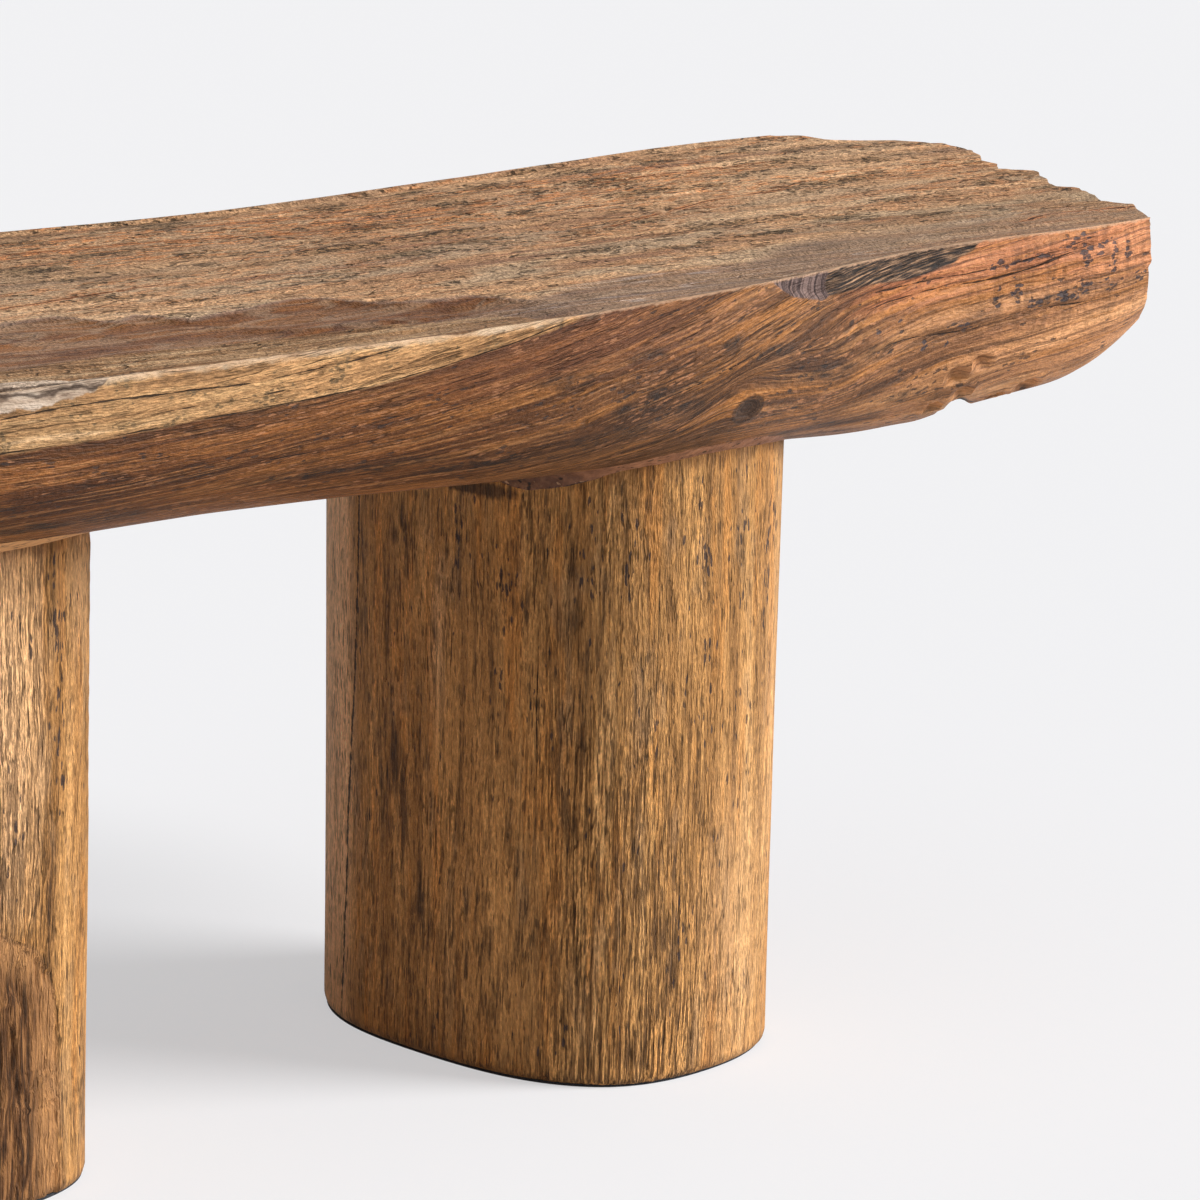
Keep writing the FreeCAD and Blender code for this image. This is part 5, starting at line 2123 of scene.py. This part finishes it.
@dataclass(frozen=True)
class EndFinish(Finish):
    """Sawn end grain with rings round the log's heart, radial cracks and saw marks."""

    name: str = "seat_end_sawn"

    def lay(self, pen: Pen) -> None:
        """Lay the nodes.

        Args:
            pen: pen of the material.
        """
        _, y, z = pen.split(pen.place())
        across, up = pen.less(y, 0.01), pen.less(z, 0.462)
        flat = pen.join(0, across, up)
        far = pen.fit(pen.noise(flat, 14), 0.02, pen.vector("LENGTH", flat, (0, 0, 0)))
        turn = pen.times(pen.math("ARCTAN2", up, across), 0.1)
        rings = pen.fibre(0.0035, 1, 41, 2.8, along=pen.join(far))
        rays = pen.fibre(0.0012, 0.03, 42, 2.8, along=pen.join(turn, pen.times(far, 0.2)))
        pen.colour = pen.ramp(rings, (0, 104, 70, 44), (0.5, 148, 104, 68), (1, 182, 134, 90))
        pen.dim(rays, 0.7, 1.25)
        pen.over(pen.rise(far, 0.175, 0.195), 0.7, (192, 148, 104))
        checks = pen.rise(
            pen.fibre(0.0035, 0.05, 43, 3.4, along=pen.join(turn, pen.times(far, 0.05))), 0.1, 0.02
        )
        pen.over(checks, 0.85, (44, 30, 22))
        marks = pen.fibre(0.0022, 1, 44, 2.6, along=pen.join(pen.fit(y, 0.12, z)))
        grit = pen.noise(pen.place(), 700, 3, 0.6)
        pen.dim(grit, 0.55, 1.45)
        pen.dim(marks, 0.82, 1.15)
        pen.over(pen.rise(pen.noise(pen.place(), 60, 4, 0.65), 0.5, 0.7), 0.35, (92, 72, 52))
        height = pen.fit(marks, 0.5, pen.times(grit, 0.4))
        height = pen.less(height, pen.times(checks, 1.4))
        pen.finish(pen.fit(marks, 0.15, 0.68), height, 0.001, 0.2)


@dataclass(frozen=True)
class LegFinish(Finish):
    """Brushed upright grain of a stump leg, with raised fibres where it is weathered most: painted shade in
    their grooves and painted highlights on their crests.
    """

    seed: float

    def lay(self, pen: Pen) -> None:
        """Lay the nodes.

        Args:
            pen: pen of the material.
        """
        seed = self.seed
        x, y, z = pen.split(pen.place())
        pen.bend_fibres(z, x, y)
        coarse, stain_and_painted_light = pen.attribute("coarse"), pen.attribute("stain_and_painted_light")
        pen.colour = pen.ramp(
            pen.fibre(0.34, 0.018, seed, 2.6, 3), (0, 162, 114, 64), (0.4, 189, 137, 81),
            (0.75, 206, 152, 92), (1, 222, 168, 108),
        )
        amber = pen.streaks(0.22, 0.014, seed + 1, 3, 3, 0.55, 0.9)
        pen.over(amber, 0.5, (216, 144, 72))
        dark = pen.streaks(0.1, 0.005, seed + 3, 3.6, 3, 0.66, 0.98)
        pen.over(dark, 0.4, (96, 66, 40))
        ashen = pen.streaks(0.07, 0.02, seed + 8, 3, 4, 0.6, 0.95)
        pen.over(ashen, 0.3, (146, 122, 96))
        streaks = pen.fibre(0.03, 0.003, seed + 9, 3.4, 3)
        # Dark streaks and stains; the mask also holds a painted shadow in the gap under the seat and
        # painted shade low on the shaded side.
        deep = pen.rise(pen.fit(streaks, 0.6, stain_and_painted_light), 0.3, 1.25)
        pen.over(deep, 0.85, (70, 50, 36))
        # Painted light where the mask is below 0: the leg is made paler, most of all by the painted rim
        # light along the right leg's left edge.
        pen.over(pen.math("MULTIPLY", stain_and_painted_light, -1, clamp=True), 0.95, (250, 200, 150))
        patch = pen.fibre(0.1, 0.028, seed + 13, 2.8, 3)
        height = pen.wear(pen.fit(patch, 0.5, pen.fit(coarse, 0.3, 0.4)), 0.0062, 0.0009, 1, seed + 4)
        rib = pen.fibre(0.034, 0.0014, seed + 6, 4.4, 1)
        # Painted shade in the grooves between raised fibres.
        hollow = pen.times(pen.rise(rib, 0.55, 0.12), coarse)
        pen.over(hollow, 0.72, (64, 42, 26))
        # Painted highlights on the crests of the raised fibres.
        pen.dim(pen.times(coarse, rib), 0.97, 1.19)
        column = pen.streaks(0.09, 0.006, seed + 2, 3.4, 2, 0.45, 0.75)
        amount = pen.most(
            pen.times(pen.attribute("flecks"), pen.fit(column, 0.5, 0.6)), pen.times(column, 0.26)
        )
        flecks = pen.flecks(0.0078, 0.002, seed + 5, amount)
        pen.over(flecks, 0.85, (54, 48, 52))
        pinholes = pen.flecks(0.0095, 0.0011, seed + 11, pen.fit(deep, 0.35, 0.36))
        pen.over(pinholes, 0.6, (56, 42, 32))
        tear = pen.add(pen.attribute("torn"), pen.fuzz(50, 0.016))
        bark = pen.ramp(
            pen.fibre(0.03, 0.0022, seed + 7, 3.6, 3), (0, 40, 25, 14), (0.5, 96, 62, 36), (1, 160, 112, 68)
        )
        pen.over(pen.rise(tear, -0.002, 0.001), 0.5, (204, 148, 98))
        pen.over(pen.rise(tear, 0.004, 0.026), 0.95, bark)
        pen.over(pen.near(tear, 0, 0.0012), 0.35, (70, 48, 32))
        crack = pen.crack(pen.noise(pen.place(), 200))
        pen.over(crack, 0.92, (34, 23, 16))
        # Painted shade just below where the leg meets the seat.
        under_joint = pen.add(pen.attribute("contact"), pen.fuzz(90, 0.02))
        pen.over(pen.rise(under_joint, 0.012, 0.001), 0.5, (106, 66, 40))
        # Painted contact shade along the foot.
        foot = pen.edge(z, 120, 0.006, 0.008, 0.002)
        pen.over(foot, 0.4, (84, 58, 38))
        height = pen.sink(height, (flecks, 0.35), (pinholes, 0.3), (crack, 1.3), (hollow, 0.9), (dark, 0.1))
        pen.finish(0.62, height, 0.0011, 0.16)


@dataclass(frozen=True)
class FillerFinish(Finish):
    """Wood dust and glue: a rough reddish-brown crust with pits and pale crumbs; painted shade away from
    its front, in the gap and along its edge on the leg, and a paler front that is partly painted light.
    """

    # How strongly the front turns to the paler tone below; that tone is partly the crust's colour and
    # partly painted light.
    light: float
    pale_and_lit_tone: Row

    def lay(self, pen: Pen) -> None:
        """Lay the nodes.

        Args:
            pen: pen of the material.
        """
        place, up, front = pen.place(), pen.attribute("up"), pen.attribute("front")
        pen.grain = place
        lumps = pen.noise(place, 140, 4, 0.6)
        pen.colour = pen.ramp(
            lumps, (0.3, 82, 51, 35), (0.5, 132, 87, 58), (0.64, 166, 116, 82), (0.75, 200, 154, 118)
        )
        pen.over(pen.rise(pen.noise(place, 28, 3, 0.5), 0.45, 0.6), 0.4, (104, 64, 46))
        # Painted shade: the crust is darker away from its front.
        pen.dim(front, 0.62, 1)
        # Paler front: partly the crust's colour, partly painted light on the downward-facing crust.
        pen.over(pen.times(front, self.light), pen.fit(lumps, 1.2, -0.1), self.pale_and_lit_tone)
        # Painted shadow in the gap where the right leg stops short of the seat.
        pen.over(pen.attribute("gap"), 0.85, (34, 22, 17))
        edge = pen.rise(up, 0.22, 0.03)
        crumbs = pen.flecks(0.004, 0.003, 51, pen.fit(edge, 0.35, 0.14))
        pen.over(crumbs, 0.7, (186, 144, 108))
        pits = pen.flecks(0.003, 0.0026, 52, 0.3)
        pen.over(pits, 0.85, (34, 23, 19))
        # Painted shade in the crease along the crust's edge on the leg.
        pen.over(pen.edge(up, 300, 0.16, 0.06, 0.01), 0.85, (36, 25, 20))
        height = pen.fit(crumbs, 0.2, pen.less(lumps, pen.times(pits, 0.4)))
        pen.finish(0.6, height, 0.002, 0.3)


@dataclass(frozen=True)
class DowelFinish(Finish):
    """Turned pale hardwood with fine straight grain."""

    name: str = "dowel_turned"

    def lay(self, pen: Pen) -> None:
        """Lay the nodes.

        Args:
            pen: pen of the material.
        """
        x, y, z = pen.split(pen.place())
        pen.bend_fibres(z, x, y)
        grain = pen.fibre(0.06, 0.0011, 61, 2.4)
        pen.colour = pen.ramp(grain, (0, 176, 140, 98), (0.5, 204, 170, 126), (1, 222, 192, 150))
        flute = pen.fibre(0.4, 0.003, 62, 2)
        pen.finish(pen.fit(grain, 0.15, 0.45), pen.add(grain, flute), 0.0002)


@dataclass(frozen=True)
class FeltFinish(Finish):
    """Thin pressed felt, dark and matt."""

    name: str = "felt_pressed"

    def lay(self, pen: Pen) -> None:
        """Lay the nodes.

        Args:
            pen: pen of the material.
        """
        fluff = pen.noise(pen.place(), 900, 4, 0.7)
        pen.colour = pen.ramp(fluff, (0.3, 34, 36, 40), (0.7, 70, 72, 76))
        pen.finish(0.95, fluff, 0.0003, 0.1)


def dress_node(name: str, material: Material) -> None:
    """Give a kept node of the frame a better material.

    Args:
        name: name of the node.
        material: its finish.
    """
    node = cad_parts[name]
    node.data.materials.clear()
    node.data.materials.append(material)
    log.info("dressed %s with %s", name, material.name)


def hand_over(piece: Piece, node: str) -> None:
    """Let a finished piece ride on the body and stand for a node of the frame.

    Args:
        piece: the piece.
        node: name of the node.
    """
    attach(piece, "root")
    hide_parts(node)
    log.info("%s stands for %s: %d faces", piece.name, node, len(piece.data.polygons))


def main() -> None:
    """Build the bench and its studio."""
    logging.basicConfig(level=logging.INFO, format="%(name)s: %(message)s")
    Studio().build()
    surface = SeatSurface()
    seat = SeatSlab(surface).build(TopFinish().make(), FlankFinish().make(), EndFinish().make())
    hand_over(seat, "seat_slab")
    dowel_finish, felt_finish = DowelFinish().make(), FeltFinish().make()
    # For each crust: how strongly its front turns paler, and that tone, partly its colour and partly
    # painted light.
    crusts = {Side.RIGHT: (0.7, (190, 132, 96)), Side.LEFT: (1.8, (214, 158, 104))}
    for side, outline, seed in ((Side.RIGHT, RIGHT_OUTLINE, 51), (Side.LEFT, LEFT_OUTLINE, 71)):
        leg = StumpLeg(side, outline, surface)
        stump = leg.build(LegFinish(f"leg_{side.word}_brushed", seed).make())
        hand_over(stump, f"leg_{side.word}")
        crust = leg.build_filler(FillerFinish(f"joint_filler_{side.word}_crust", *crusts[side]).make())
        hand_over(crust, f"joint_filler_{side.word}")
        dress_node(f"foot_pad_{side.word}", felt_finish)
        for place in range(1, 5):
            dress_node(f"dowel_{side.word}_{place}", dowel_finish)


if __name__ == "__main__":
    main()
